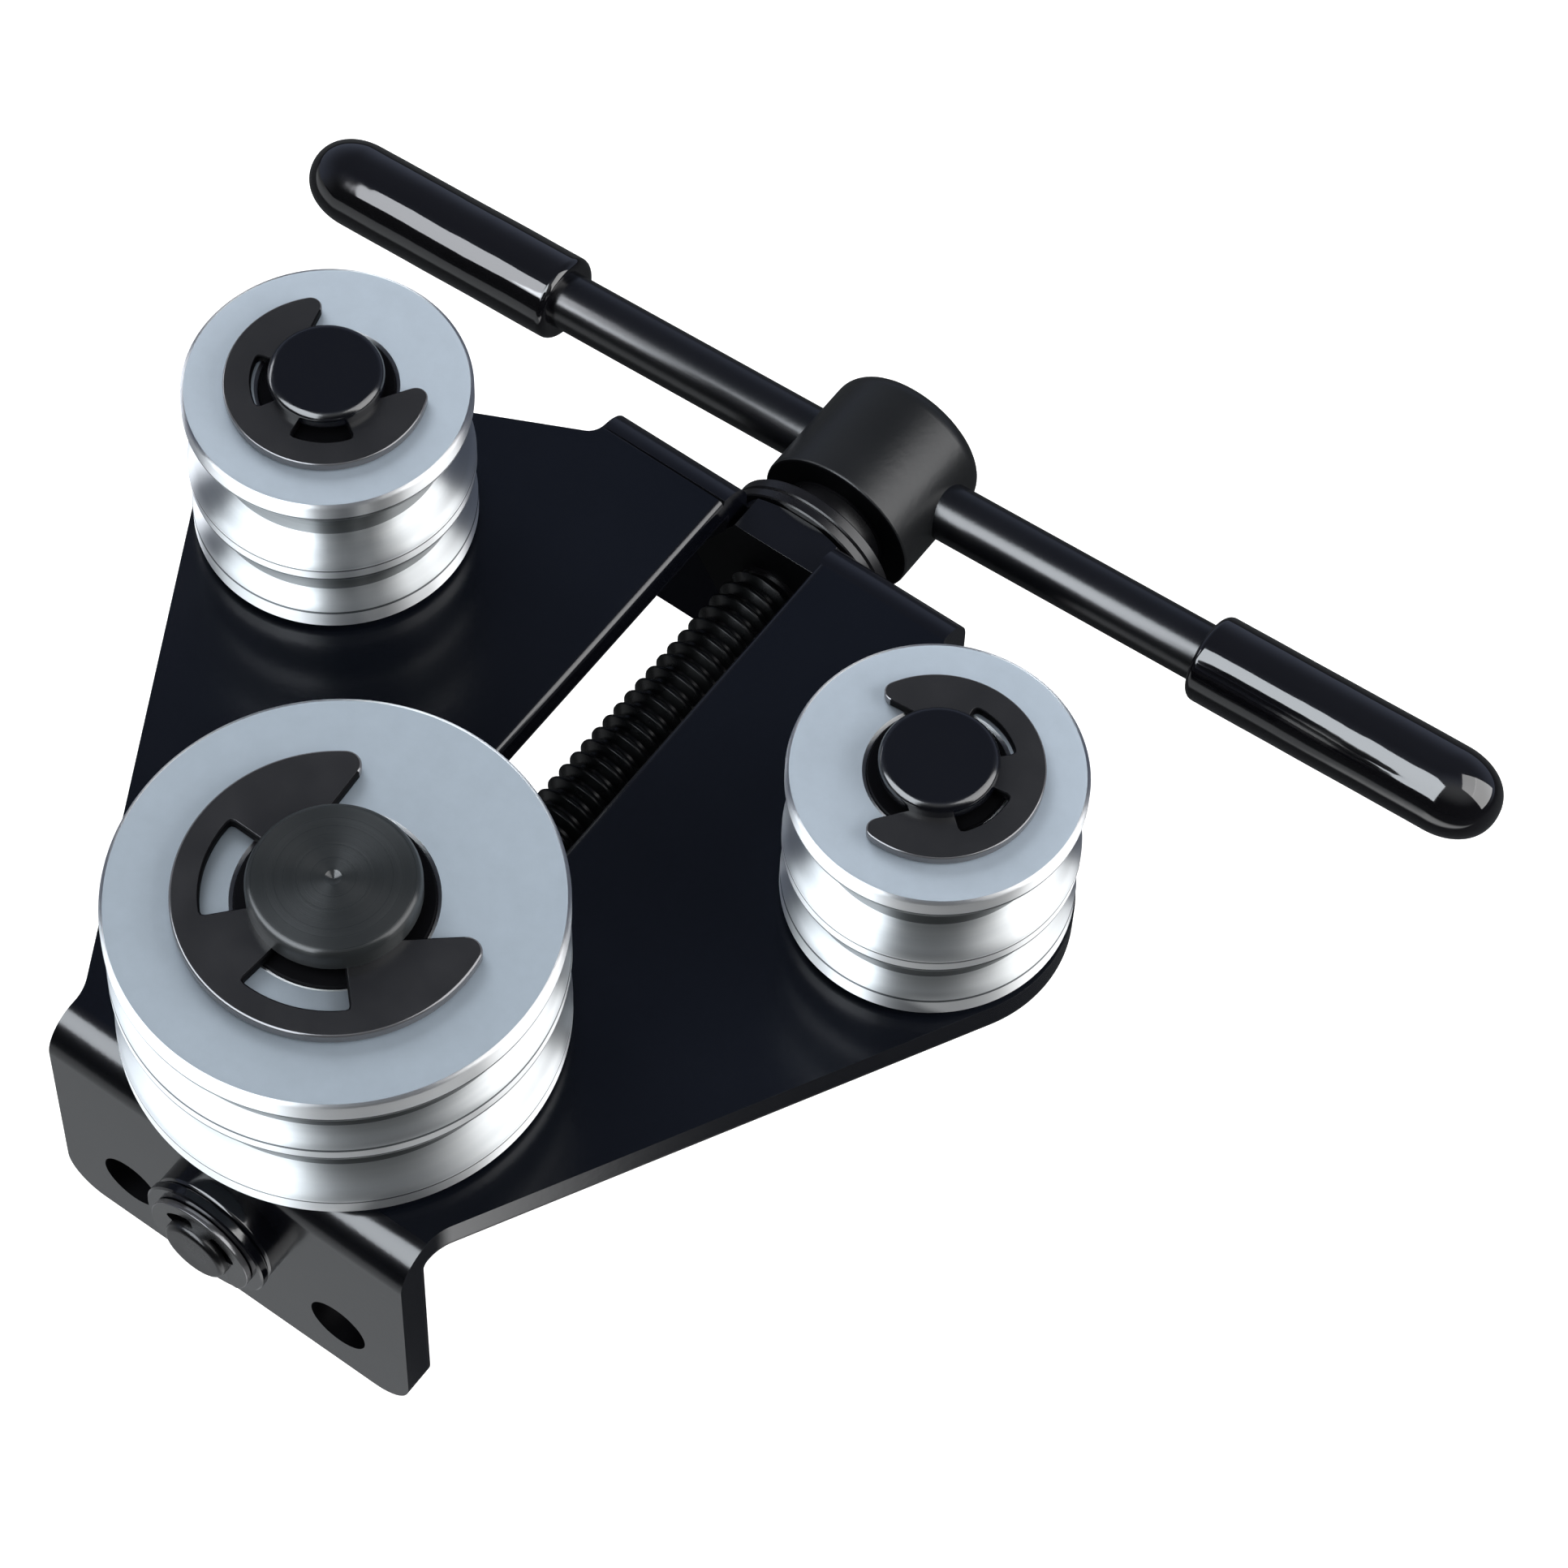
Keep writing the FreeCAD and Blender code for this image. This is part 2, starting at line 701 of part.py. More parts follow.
# Lead screw, with a journal at each end and the clip's groove near the front tip
journal = dim.front_journal_dia / 2
thread = dim.thread_dia / 2
shank = dim.rear_journal_dia / 2
turned_on_screw("lead_screw", [
    (0, screw_front_y),
    (journal - dim.screw_tip_chamfer, screw_front_y),
    (journal, screw_front_y + dim.screw_tip_chamfer),
    (journal, front_clip_y),
    (dim.front_clip_groove_dia / 2, front_clip_y),
    (dim.front_clip_groove_dia / 2, front_clip_y + dim.front_clip_thickness),
    (journal, front_clip_y + dim.front_clip_thickness),
    (journal, thread_front_y),
    (thread - dim.thread_chamfer, thread_front_y),
    (thread, thread_front_y + dim.thread_chamfer),
    (thread, thread_rear_y - dim.thread_chamfer / 2),
    (thread - dim.thread_chamfer / 2, thread_rear_y),
    (shank, thread_rear_y),
    (shank, shank_rear_y),
    (0, shank_rear_y),
])

# Front bush in the flange, then the washer and the clip that keep the screw in place
bush_bore = dim.front_journal_dia + dim.running_clearance * 2
turned_on_screw("front_bush", [
    (bush_bore / 2, -dim.front_bush_stand),
    (dim.front_bush_dia / 2 - dim.front_bush_chamfer, -dim.front_bush_stand),
    (dim.front_bush_dia / 2, dim.front_bush_chamfer - dim.front_bush_stand),
    (dim.front_bush_dia / 2, 0),
    (dim.front_bush_spigot_dia / 2, 0),
    (dim.front_bush_spigot_dia / 2, dim.sheet_thickness),
    (bush_bore / 2, dim.sheet_thickness),
])
turned_on_screw("front_washer", ring(
    bush_bore, dim.front_washer_dia, front_washer_y,
    front_washer_y + dim.front_washer_thickness,
))
front_clip = clip(
    "front_clip", "XZ_Plane", dim.front_clip_dia, dim.front_clip_window_dia,
    dim.front_clip_groove_dia, dim.front_clip_thickness, dim.front_clip_tip_radius,
)
place(
    front_clip, 0, front_clip_y + dim.front_clip_thickness, screw_z, (0, -1, 0),
    dim.front_clip_direction,
)

# Rear bush in the rear flange and the two thrust washers behind it
rear_bore = dim.rear_journal_dia + dim.running_clearance * 2
rear_bush = new_body("rear_bush")
bush_end = new_sketch(rear_bush, "XZ_Plane", "end")
add_profile(bush_end, hexagon(dim.rear_bush_flats, 0))
add_circle(bush_end, 0, 0, rear_bore)
extrude("Pad", rear_bush, bush_end, dim.rear_bush_length, symmetric=False)
place(rear_bush, 0, bush_rear_y, screw_z)
turned_on_screw("inner_thrust_washer", ring(
    rear_bore, dim.thrust_washer_dia, inner_washer_y,
    inner_washer_y + dim.inner_washer_thickness,
))
turned_on_screw("outer_thrust_washer", ring(
    rear_bore, dim.thrust_washer_dia, outer_washer_y,
    outer_washer_y + dim.outer_washer_thickness,
))

# Handle: hub on the screw's shank, cross bar and two dipped grips
level = (0, -1, 0)
handle_hub = turned_on_screw("handle_hub", [
    (shank, neck_front_y),
    (dim.hub_neck_dia / 2, neck_front_y),
    (dim.hub_neck_dia / 2, hub_front_y),
    (dim.hub_dia / 2 - dim.hub_front_chamfer, hub_front_y),
    (dim.hub_dia / 2, hub_front_y + dim.hub_front_chamfer),
    (dim.hub_dia / 2, hub_rear_y - dim.hub_rear_radius, dim.hub_rear_radius),
    (dim.hub_dia / 2 - dim.hub_rear_radius, hub_rear_y),
    (0, hub_rear_y),
    (0, shank_rear_y),
    (shank, shank_rear_y),
])
cross_hole = new_sketch(handle_hub, "YZ_Plane", "cross_hole")
add_circle(cross_hole, bar_y, 0, dim.bar_dia)
extrude("Pocket", handle_hub, cross_hole, dim.hub_dia * 2)
place(handle_hub, 0, 0, screw_z, level, dim.handle_rest_angle)

half_bar = dim.bar_length / 2
bar_radius = dim.bar_dia / 2
handle_bar = new_body("handle_bar")
bar_profile = new_sketch(handle_bar, "XY_Plane", "profile")
add_profile(bar_profile, [
    (-half_bar, 0),
    (half_bar, 0),
    (half_bar, bar_radius - dim.bar_end_radius, dim.bar_end_radius),
    (half_bar - dim.bar_end_radius, bar_radius),
    (dim.bar_end_radius - half_bar, bar_radius, dim.bar_end_radius),
    (-half_bar, bar_radius - dim.bar_end_radius),
])
revolve(handle_bar, bar_profile, "H_Axis")
place(handle_bar, 0, bar_y, screw_z, level, dim.handle_rest_angle)

grip_radius = dim.grip_dia / 2
grip_tip = half_bar + dim.grip_end_wall
grip_mouth = grip_tip - dim.grip_length
right_grip_points = [
    (grip_mouth, bar_radius),
    (grip_mouth, grip_radius - dim.grip_mouth_radius, -dim.grip_mouth_radius),
    (grip_mouth + dim.grip_mouth_radius, grip_radius),
    (grip_tip - dim.grip_nose_radius, grip_radius, -dim.grip_nose_radius),
    (grip_tip, grip_radius - dim.grip_nose_radius),
    (grip_tip, 0),
    (half_bar, 0),
    (half_bar, bar_radius - dim.bar_end_radius, dim.bar_end_radius),
    (half_bar - dim.bar_end_radius, bar_radius),
]
for side, points in (("right", right_grip_points), ("left", mirrored(right_grip_points))):
    grip = new_body(f"{side}_grip")
    grip_profile = new_sketch(grip, "XY_Plane", "profile")
    add_profile(grip_profile, points)
    revolve(grip, grip_profile, "H_Axis")
    place(grip, 0, bar_y, screw_z, level, dim.handle_rest_angle)

doc.recompute()
faults = []
for item in doc.Objects:
    if "Invalid" in item.State or "Error" in item.State:
        faults.append(f"{item.Label}: {item.State}")
bodies = [item for item in doc.Objects if item.isDerivedFrom("PartDesign::Body")]
for body in bodies:
    if body.Shape.isNull() or not body.Shape.isValid():
        faults.append(f"{body.Label}: no valid shape")
if faults:
    raise RuntimeError("; ".join(faults))

os.makedirs("parts", exist_ok=True)
for body in bodies:
    body.Shape.exportStep(f"parts/{body.Label}.step")
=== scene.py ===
import math

import bmesh
import bpy
from mathutils import Matrix, Vector, noise


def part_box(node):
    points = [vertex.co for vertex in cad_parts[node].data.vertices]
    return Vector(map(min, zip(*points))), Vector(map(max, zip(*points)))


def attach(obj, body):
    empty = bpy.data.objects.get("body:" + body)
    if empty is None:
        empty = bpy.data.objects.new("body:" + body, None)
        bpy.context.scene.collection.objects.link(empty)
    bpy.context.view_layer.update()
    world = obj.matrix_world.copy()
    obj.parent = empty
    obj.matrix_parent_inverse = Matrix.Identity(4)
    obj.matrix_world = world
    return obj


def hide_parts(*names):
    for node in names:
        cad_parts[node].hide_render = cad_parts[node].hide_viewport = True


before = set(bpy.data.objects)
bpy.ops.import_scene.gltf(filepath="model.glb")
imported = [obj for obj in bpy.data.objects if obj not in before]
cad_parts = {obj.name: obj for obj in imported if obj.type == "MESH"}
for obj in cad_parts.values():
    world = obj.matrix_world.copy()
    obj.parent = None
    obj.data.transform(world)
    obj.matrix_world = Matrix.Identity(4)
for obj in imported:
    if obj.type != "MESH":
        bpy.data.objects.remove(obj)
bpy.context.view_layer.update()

# Sizes and places are in millimetres in the part's own frame, and places come from the CAD
MM = 0.001


def span(node_name, axis):
    """Where a CAD node begins and ends along an axis, to a hundredth of a millimetre."""
    low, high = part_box(node_name)
    index = "XYZ".index(axis)
    return round(low[index] / MM, 2), round(high[index] / MM, 2)


def middle(node_name, axis):
    return round(sum(span(node_name, axis)) / 2, 2)


TOP = span("base_plate", "Z")[1]
SCREW_Z = middle("lead_screw", "Z")
PIN_X = middle("right_roller_washer", "X")
PIN_Y = middle("right_roller_washer", "Y")
AXLE_Y = middle("large_roller_axle", "Y")
BAR_Y = middle("handle_bar", "Y")
ROLLER_Z, ROLLER_TOP = span("large_roller", "Z")
CLIP_Z = span("large_roller_clip", "Z")[0]
ON_SCREW = (0, 0, SCREW_Z)
SIDES = (("left", -1), ("right", 1))

HANDLE_TURN = Matrix.Rotation(math.radians(-4.6), 4, "Y")
ABOUT_Y = Matrix.Rotation(math.radians(-90), 4, "X")
ABOUT_X = Matrix.Rotation(math.radians(90), 4, "Y")
UPRIGHT = Matrix.Rotation(math.radians(90), 4, "X")


# Shader nodes

def node(tree, kind, settings=None, **inputs):
    """A shader node. Its inputs go by name, or by place as _0, _1 where names repeat."""
    made = tree.nodes.new("ShaderNode" + kind)
    for key, value in (settings or {}).items():
        setattr(made, key, value)
    for key, value in inputs.items():
        socket = made.inputs[int(key[1:])] if key[0] == "_" else made.inputs[key.replace("_", " ")]
        if isinstance(value, bpy.types.NodeSocket):
            tree.links.new(value, socket)
        else:
            socket.default_value = value
    return made


def empty_tree(owner, output):
    """Clears the node tree of a material or world and gives it a new output."""
    owner.use_nodes = True
    owner.node_tree.nodes.clear()
    return owner.node_tree, owner.node_tree.nodes.new("ShaderNode" + output)


def principled(name):
    mat = bpy.data.materials.new(name)
    tree, out = empty_tree(mat, "OutputMaterial")
    bsdf = tree.nodes.new("ShaderNodeBsdfPrincipled")
    tree.links.new(bsdf.outputs[0], out.inputs[0])
    return mat, tree, bsdf


def place_of(tree, scale=(1, 1, 1)):
    where = node(tree, "TexCoord").outputs["Object"]
    return node(tree, "Mapping", Vector=where, Scale=scale).outputs[0]


def maths(tree, operation, *values):
    inputs = {f"_{place}": value for place, value in enumerate(values)}
    return node(tree, "Math", {"operation": operation}, **inputs).outputs[0]


def along(tree, vector, way):
    """How far a vector reaches along a direction."""
    made = node(tree, "VectorMath", {"operation": "DOT_PRODUCT"}, _0=vector, _1=way)
    return made.outputs["Value"]


def ramp(tree, value, start, end, low=0.0, high=1.0, smooth=False):
    """Goes from low to high as the value goes from start to end."""
    settings = {"interpolation_type": "SMOOTHSTEP"} if smooth else {}
    return node(tree, "MapRange", settings, Value=value, From_Min=start, From_Max=end,
                To_Min=low, To_Max=high).outputs[0]


def spread(tree, noise_value, limits):
    """Spreads the middle of a noise's values over the two limits."""
    return ramp(tree, noise_value, 0.3, 0.7, *limits)


def speckle(tree, vector, scale, detail=4.0, roughness=0.55):
    made = node(tree, "TexNoise", Vector=vector, Scale=scale, Detail=detail, Roughness=roughness)
    return made.outputs["Fac"]


def blend_colour(tree, factor, first, second):
    mixed = node(tree, "Mix", {"data_type": "RGBA"}, _0=factor, _6=(*first, 1), _7=(*second, 1))
    return mixed.outputs[2]


def mix_shader(tree, factor, first, second):
    return node(tree, "MixShader", _0=factor, _1=first, _2=second).outputs[0]


def glow(tree, strength):
    return node(tree, "Emission", Color=(1, 1, 1, 1), Strength=strength).outputs[0]


def bump(tree, height, strength, distance):
    return node(tree, "Bump", Strength=strength, Distance=distance, Height=height).outputs[0]


def rings(tree, vector, scale, detail=3.0):
    """Uneven concentric turning marks about the piece's own Z axis."""
    flat = node(tree, "Mapping", Vector=vector, Scale=(1, 1, 0)).outputs[0]
    radius = node(tree, "VectorMath", {"operation": "LENGTH"}, _0=flat).outputs["Value"]
    return speckle(tree, node(tree, "CombineXYZ", X=radius).outputs[0], scale, detail, 0.7)


def stripes(tree, vector, scale, detail=3.0):
    """Uneven turning marks along the piece's own Z axis."""
    height = node(tree, "Mapping", Vector=vector, Scale=(0, 0, 1)).outputs[0]
    return speckle(tree, height, scale, detail, 0.7)


def brushed_round(tree, bsdf, amount):
    """Draws highlights out across turning marks that run round the piece's own Z axis."""
    bsdf.inputs["Anisotropic"].default_value = amount
    bsdf.inputs["Anisotropic Rotation"].default_value = 0.25
    round_axis = node(tree, "Tangent", {"direction_type": "RADIAL", "axis": "Z"}).outputs[0]
    tree.links.new(round_axis, bsdf.inputs["Tangent"])


# Materials

def paint(name, colour, rough, peel=0.10, shine=1.0, shade_underside=False):
    """Stove enamel: near black, slightly uneven in gloss, with a fine orange peel."""
    mat, tree, bsdf = principled(name)
    where = place_of(tree)
    patches = speckle(tree, where, scale=45.0)
    fine = speckle(tree, where, scale=900.0, detail=2.0)
    darker = tuple(part * 0.75 for part in colour)
    tree.links.new(blend_colour(tree, patches, darker, colour), bsdf.inputs["Base Color"])
    roughness = spread(tree, patches, rough)
    # Painted shade: the gloss is taken down on the plate's faces that look down or inward.
    if shade_underside:
        inside = underside_shade_mask(tree, where)
        gloss = ramp(tree, inside, 0, 1, shine, 0.02)
        tree.links.new(gloss, bsdf.inputs["Specular IOR Level"])
        roughness = maths(tree, "MULTIPLY_ADD", inside, 0.4, roughness)
    else:
        bsdf.inputs["Specular IOR Level"].default_value = shine
    tree.links.new(roughness, bsdf.inputs["Roughness"])
    tree.links.new(bump(tree, fine, peel, 0.12 * MM), bsdf.inputs["Normal"])
    return mat


def underside_shade_mask(tree, where):
    """One on the plate's faces that look down or inward, where the gloss is taken down to paint in
    shade.
    """
    parts = node(tree, "SeparateXYZ", Vector=where)
    below = ramp(tree, parts.outputs["Z"], 24.8 * MM, 25.6 * MM, 1, 0)
    behind_front = ramp(tree, parts.outputs["Y"], 4.2 * MM, 4.7 * MM)
    before_rear = ramp(tree, parts.outputs["Y"], 123.4 * MM, 123.9 * MM, 1, 0)
    return maths(tree, "MULTIPLY", maths(tree, "MULTIPLY", behind_front, before_rear), below)


def zinc_face(name, light):
    """The flat turned face of a zinc-plated roller."""
    mat, tree, bsdf = principled(name)
    where = place_of(tree)
    turned = rings(tree, where, scale=900.0)
    broad = rings(tree, where, scale=130.0, detail=2.0)
    cloud = speckle(tree, where, scale=60.0, detail=3.0)
    mottle = speckle(tree, where, scale=240.0, detail=5.0, roughness=0.7)
    tone = maths(tree, "SUBTRACT", maths(tree, "MULTIPLY_ADD", broad, 0.7, mottle), 0.35)
    dull = tuple(part * 0.85 for part in light)
    tree.links.new(blend_colour(tree, tone, dull, light), bsdf.inputs["Base Color"])
    tree.links.new(spread(tree, cloud, (0.42, 0.52)), bsdf.inputs["Roughness"])
    bsdf.inputs["Specular IOR Level"].default_value = 0.3
    tree.links.new(bump(tree, turned, 0.18, 0.06 * MM), bsdf.inputs["Normal"])
    return mat


def zinc_side(name, dark, light, rough):
    """The turned side of a zinc-plated roller; its lighter and darker copies paint in highlight
    and shade.
    """
    mat, tree, bsdf = principled(name)
    where = place_of(tree)
    turned = stripes(tree, where, scale=2600.0)
    bands = stripes(tree, where, scale=900.0, detail=2.0)
    cloud = speckle(tree, where, scale=90.0, detail=3.0)
    tone = maths(tree, "MULTIPLY_ADD", bands, 0.6, 0.2)
    tree.links.new(blend_colour(tree, tone, dark, light), bsdf.inputs["Base Color"])
    tree.links.new(spread(tree, cloud, rough), bsdf.inputs["Roughness"])
    bsdf.inputs["Metallic"].default_value = 1.0
    brushed_round(tree, bsdf, 1.0)
    tree.links.new(bump(tree, turned, 0.1, 0.04 * MM), bsdf.inputs["Normal"])
    return mat


def dark_steel(name, light, dark, rough, shine, bare=0.0):
    """Phosphated or blackened steel, a little uneven."""
    mat, tree, bsdf = principled(name)
    where = place_of(tree)
    patches = speckle(tree, where, scale=160.0)
    fine = speckle(tree, where, scale=3500.0, detail=2.0)
    tree.links.new(blend_colour(tree, patches, dark, light), bsdf.inputs["Base Color"])
    tree.links.new(spread(tree, patches, rough), bsdf.inputs["Roughness"])
    bsdf.inputs["Specular IOR Level"].default_value = shine
    bsdf.inputs["Metallic"].default_value = bare
    tree.links.new(bump(tree, fine, 0.12, 0.04 * MM), bsdf.inputs["Normal"])
    return mat


def turned_steel():
    """Bare dark steel with the tool's rings, brushed in a circle about the piece's own axis."""
    mat, tree, bsdf = principled("turned_steel")
    where = place_of(tree)
    turned = rings(tree, where, scale=2200.0)
    broad = rings(tree, where, scale=420.0, detail=2.0)
    colour = blend_colour(tree, broad, (0.015, 0.018, 0.019), (0.032, 0.036, 0.038))
    tree.links.new(colour, bsdf.inputs["Base Color"])
    tree.links.new(spread(tree, turned, (0.25, 0.33)), bsdf.inputs["Roughness"])
    bsdf.inputs["Specular IOR Level"].default_value = 0.62
    brushed_round(tree, bsdf, 0.85)
    tree.links.new(bump(tree, turned, 0.35, 0.08 * MM), bsdf.inputs["Normal"])
    return mat


def vinyl():
    """Dipped vinyl: wet gloss over a slightly wavy skin."""
    mat, tree, bsdf = principled("vinyl")
    waves = speckle(tree, place_of(tree, (1.0, 2.2, 2.2)), scale=60.0, detail=2.0, roughness=0.45)
    patches = speckle(tree, place_of(tree), scale=60.0)
    colour = blend_colour(tree, patches, (0.0035, 0.0035, 0.0045), (0.006, 0.006, 0.008))
    tree.links.new(colour, bsdf.inputs["Base Color"])
    tree.links.new(spread(tree, patches, (0.05, 0.09)), bsdf.inputs["Roughness"])
    bsdf.inputs["Coat Weight"].default_value = 1.0
    bsdf.inputs["Coat Roughness"].default_value = 0.05
    skin = bump(tree, waves, 0.22, 0.4 * MM)
    tree.links.new(skin, bsdf.inputs["Normal"])
    tree.links.new(skin, bsdf.inputs["Coat Normal"])
    return mat


ENAMEL = (0.0036, 0.0042, 0.0075)
PAINT = paint("black_paint", ENAMEL, rough=(0.09, 0.14))
# The plate's paint, with painted shade on its faces that look down or inward.
PLATE = paint("plate_paint", ENAMEL, rough=(0.18, 0.22), shine=0.8, shade_underside=True)
BAR = paint("bar_paint", (0.0036, 0.0042, 0.0065), rough=(0.23, 0.27))
PLATE_TOP = paint("plate_top", (0.0062, 0.0080, 0.0135), rough=(0.18, 0.22), shine=0.32)
PIN = paint("pin_paint", ENAMEL, rough=(0.17, 0.21))
SATIN = paint("satin_black", (0.011, 0.012, 0.0135), rough=(0.32, 0.40), peel=0.2, shine=0.5)
# A flat black that paints in shade in hollows, under the clips and between parts.
SHADE_BLACK = paint("shade_black", (0.002, 0.002, 0.003), rough=(0.5, 0.6), shine=0.06)
BUSH = paint("bush_paint", ENAMEL, rough=(0.18, 0.22))
THREAD = dark_steel("thread_black", light=(0.004, 0.0045, 0.005), dark=(0.002, 0.0025, 0.003),
                    rough=(0.24, 0.32), shine=0.22)
OXIDE = dark_steel("black_oxide", light=(0.009, 0.009, 0.011), dark=(0.005, 0.005, 0.006),
                   rough=(0.24, 0.34), shine=0.6)
SPRING = dark_steel("spring_steel", light=(0.027, 0.027, 0.029), dark=(0.018, 0.0185, 0.020),
                    rough=(0.20, 0.27), shine=1.0)
SPRING_EDGE = dark_steel("spring_edge", light=(0.20, 0.20, 0.21), dark=(0.15, 0.15, 0.16),
                         rough=(0.14, 0.18), shine=1.0, bare=0.4)
AXLE = turned_steel()
SMALL_FACE = zinc_face("zinc_face", (0.485, 0.57, 0.665))
LARGE_FACE = zinc_face("large_zinc_face", (0.425, 0.505, 0.59))
GROOVE = zinc_side("zinc_groove", dark=(0.55, 0.58, 0.60), light=(0.92, 0.93, 0.925),
                   rough=(0.43, 0.49))
# A darker copy of the groove's zinc: painted shade under each groove's upper lip.
SHADED = zinc_side("zinc_groove_under_lip_shade", dark=(0.18, 0.195, 0.20), light=(0.36, 0.37, 0.375),
                   rough=(0.43, 0.49))
# A brighter copy of the groove's zinc: a painted highlight on the lands and rims.
LIT_LAND = zinc_side("zinc_land_highlight", dark=(0.80, 0.82, 0.83), light=(0.95, 0.95, 0.95),
                 rough=(0.42, 0.47))
# A dark copy of the groove's zinc: painted shade lines along each groove's lips.
GROOVE_SHADE_LINE = zinc_side("zinc_lip_shade_line", dark=(0.10, 0.11, 0.12), light=(0.20, 0.21, 0.215),
                        rough=(0.4, 0.5))
VINYL = vinyl()


# Mesh helpers

def link(name, mesh):
    made = bpy.data.objects.new(name, mesh)
    bpy.context.scene.collection.objects.link(made)
    return made


def scaled_mesh(name, verts, faces):
    mesh = bpy.data.meshes.new(name)
    mesh.from_pydata([tuple(part * MM for part in vert) for vert in verts], [], faces)
    return mesh


def settle(piece, body, node_name):
    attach(piece, body)
    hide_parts(node_name)


def use_materials(piece, mats, choose):
    """Gives a piece its materials, and each face the one whose number choose returns."""
    piece.data.materials.clear()
    for mat in mats:
        piece.data.materials.append(mat)
    for face in piece.data.polygons:
        face.material_index = choose(face)


def shade(mesh, angle):
    """Smooths a closed mesh up to an angle, with its faces looking outward."""
    work = bmesh.new()
    work.from_mesh(mesh)
    bmesh.ops.remove_doubles(work, verts=work.verts, dist=1e-7)
    bmesh.ops.recalc_face_normals(work, faces=work.faces)
    work.to_mesh(mesh)
    work.free()
    mesh.shade_smooth()
    mesh.set_sharp_from_angle(angle=math.radians(angle))


def apply_modifiers(piece):
    bpy.context.view_layer.update()
    seen = piece.evaluated_get(bpy.context.evaluated_depsgraph_get())
    mesh = bpy.data.meshes.new_from_object(seen)
    piece.modifiers.clear()
    old = piece.data
    piece.data = mesh
    bpy.data.meshes.remove(old)


def even_normals(piece):
    """Keeps large flat faces flat where they meet rounded edges."""
    step = piece.modifiers.new("normals", "WEIGHTED_NORMAL")
    step.mode = "FACE_AREA"
    step.weight = 50
    step.keep_sharp = True
    apply_modifiers(piece)


def bevel(piece, width, segments, angle):
    step = piece.modifiers.new("edge", "BEVEL")
    step.width = width * MM
    step.segments = segments
    step.limit_method = "ANGLE"
    step.angle_limit = math.radians(angle)
    step.use_clamp_overlap = True
    step.harden_normals = False
    apply_modifiers(piece)


def boolean(piece, cutter, operation="DIFFERENCE"):
    step = piece.modifiers.new("cut", "BOOLEAN")
    step.object = cutter
    step.operation = operation
    step.solver = "EXACT"
    apply_modifiers(piece)
    bpy.data.objects.remove(cutter)


def arc(cx, cy, radius, first, last, steps=8):
    turns = [math.radians(first + (last - first) * k / steps) for k in range(steps + 1)]
    return [(cx + radius * math.cos(a), cy + radius * math.sin(a)) for a in turns]


def circle(cx, cy, radius, steps):
    return arc(cx, cy, radius, 0, 360, steps)[:-1]


def prism(name, points, low, high, axis="Z"):
    """A solid from a flat outline, between two places on an axis."""
    order = {"Z": lambda p, t: (p[0], p[1], t), "X": lambda p, t: (t, p[0], p[1]),
             "Y": lambda p, t: (p[0], t, p[1])}[axis]
    work = bmesh.new()
    rows = [[work.verts.new(Vector(order(p, t)) * MM) for p in points] for t in (low, high)]
    work.faces.new(rows[0])
    work.faces.new(rows[1])
    for k in range(len(points)):
        m = (k + 1) % len(points)
        work.faces.new((rows[0][k], rows[0][m], rows[1][m], rows[1][k]))
    bmesh.ops.recalc_face_normals(work, faces=work.faces)
    mesh = bpy.data.meshes.new(name)
    work.to_mesh(mesh)
    work.free()
    return link(name, mesh)


def turned_solid(name, profile, mats, at=(0, 0, 0), turn=Matrix(), steps=160, zone=None,
                 angle=32, ripple=None):
    """Turns a closed profile of (radius, height) about Z. A zone picks the material between
    two points of the profile, and a ripple adds to the radius."""
    verts, faces, slots, index = [], [], [], []
    for radius, height in profile:
        if radius < 1e-6:
            index.append([len(verts)] * steps)
            verts.append((0, 0, height))
            continue
        index.append(list(range(len(verts), len(verts) + steps)))
        for k in range(steps):
            a = 2 * math.pi * k / steps
            r = radius + (ripple(radius, height, a) if ripple else 0)
            verts.append((r * math.cos(a), r * math.sin(a), height))
    for p in range(len(profile)):
        q = (p + 1) % len(profile)
        if profile[p][0] < 1e-6 and profile[q][0] < 1e-6:
            continue
        for k in range(steps):
            m = (k + 1) % steps
            corners = [index[p][k], index[p][m], index[q][m], index[q][k]]
            faces.append([v for i, v in enumerate(corners) if v not in corners[:i]])
            slots.append(zone(profile[p], profile[q]) if zone else 0)
    mesh = scaled_mesh(name, verts, faces)
    for mat in mats:
        mesh.materials.append(mat)
    mesh.polygons.foreach_set("material_index", slots)
    made = link(name, mesh)
    shade(mesh, angle)
    even_normals(made)
    made.matrix_world = Matrix.Translation(Vector(at) * MM) @ turn
    return made


def lathe(name, body, node_name, profile, mats, **settings):
    """A turned piece that rides a body and replaces a CAD node."""
    settle(turned_solid(name, profile, mats, **settings), body, node_name)


def ring(name, body, node_name, bore, outside, ends, mat, at, edge=0.15, turn=Matrix()):
    """A flat ring between two ends, with small chamfers."""
    inner, outer, (low, high) = bore / 2, outside / 2, ends
    profile = [(inner, low + edge), (inner + edge, low), (outer - edge, low), (outer, low + edge),
               (outer, high - edge), (outer - edge, high), (inner + edge, high),
               (inner, high - edge)]
    lathe(name, body, node_name, profile, [mat], at=at, turn=turn, steps=128)


# Folded plate

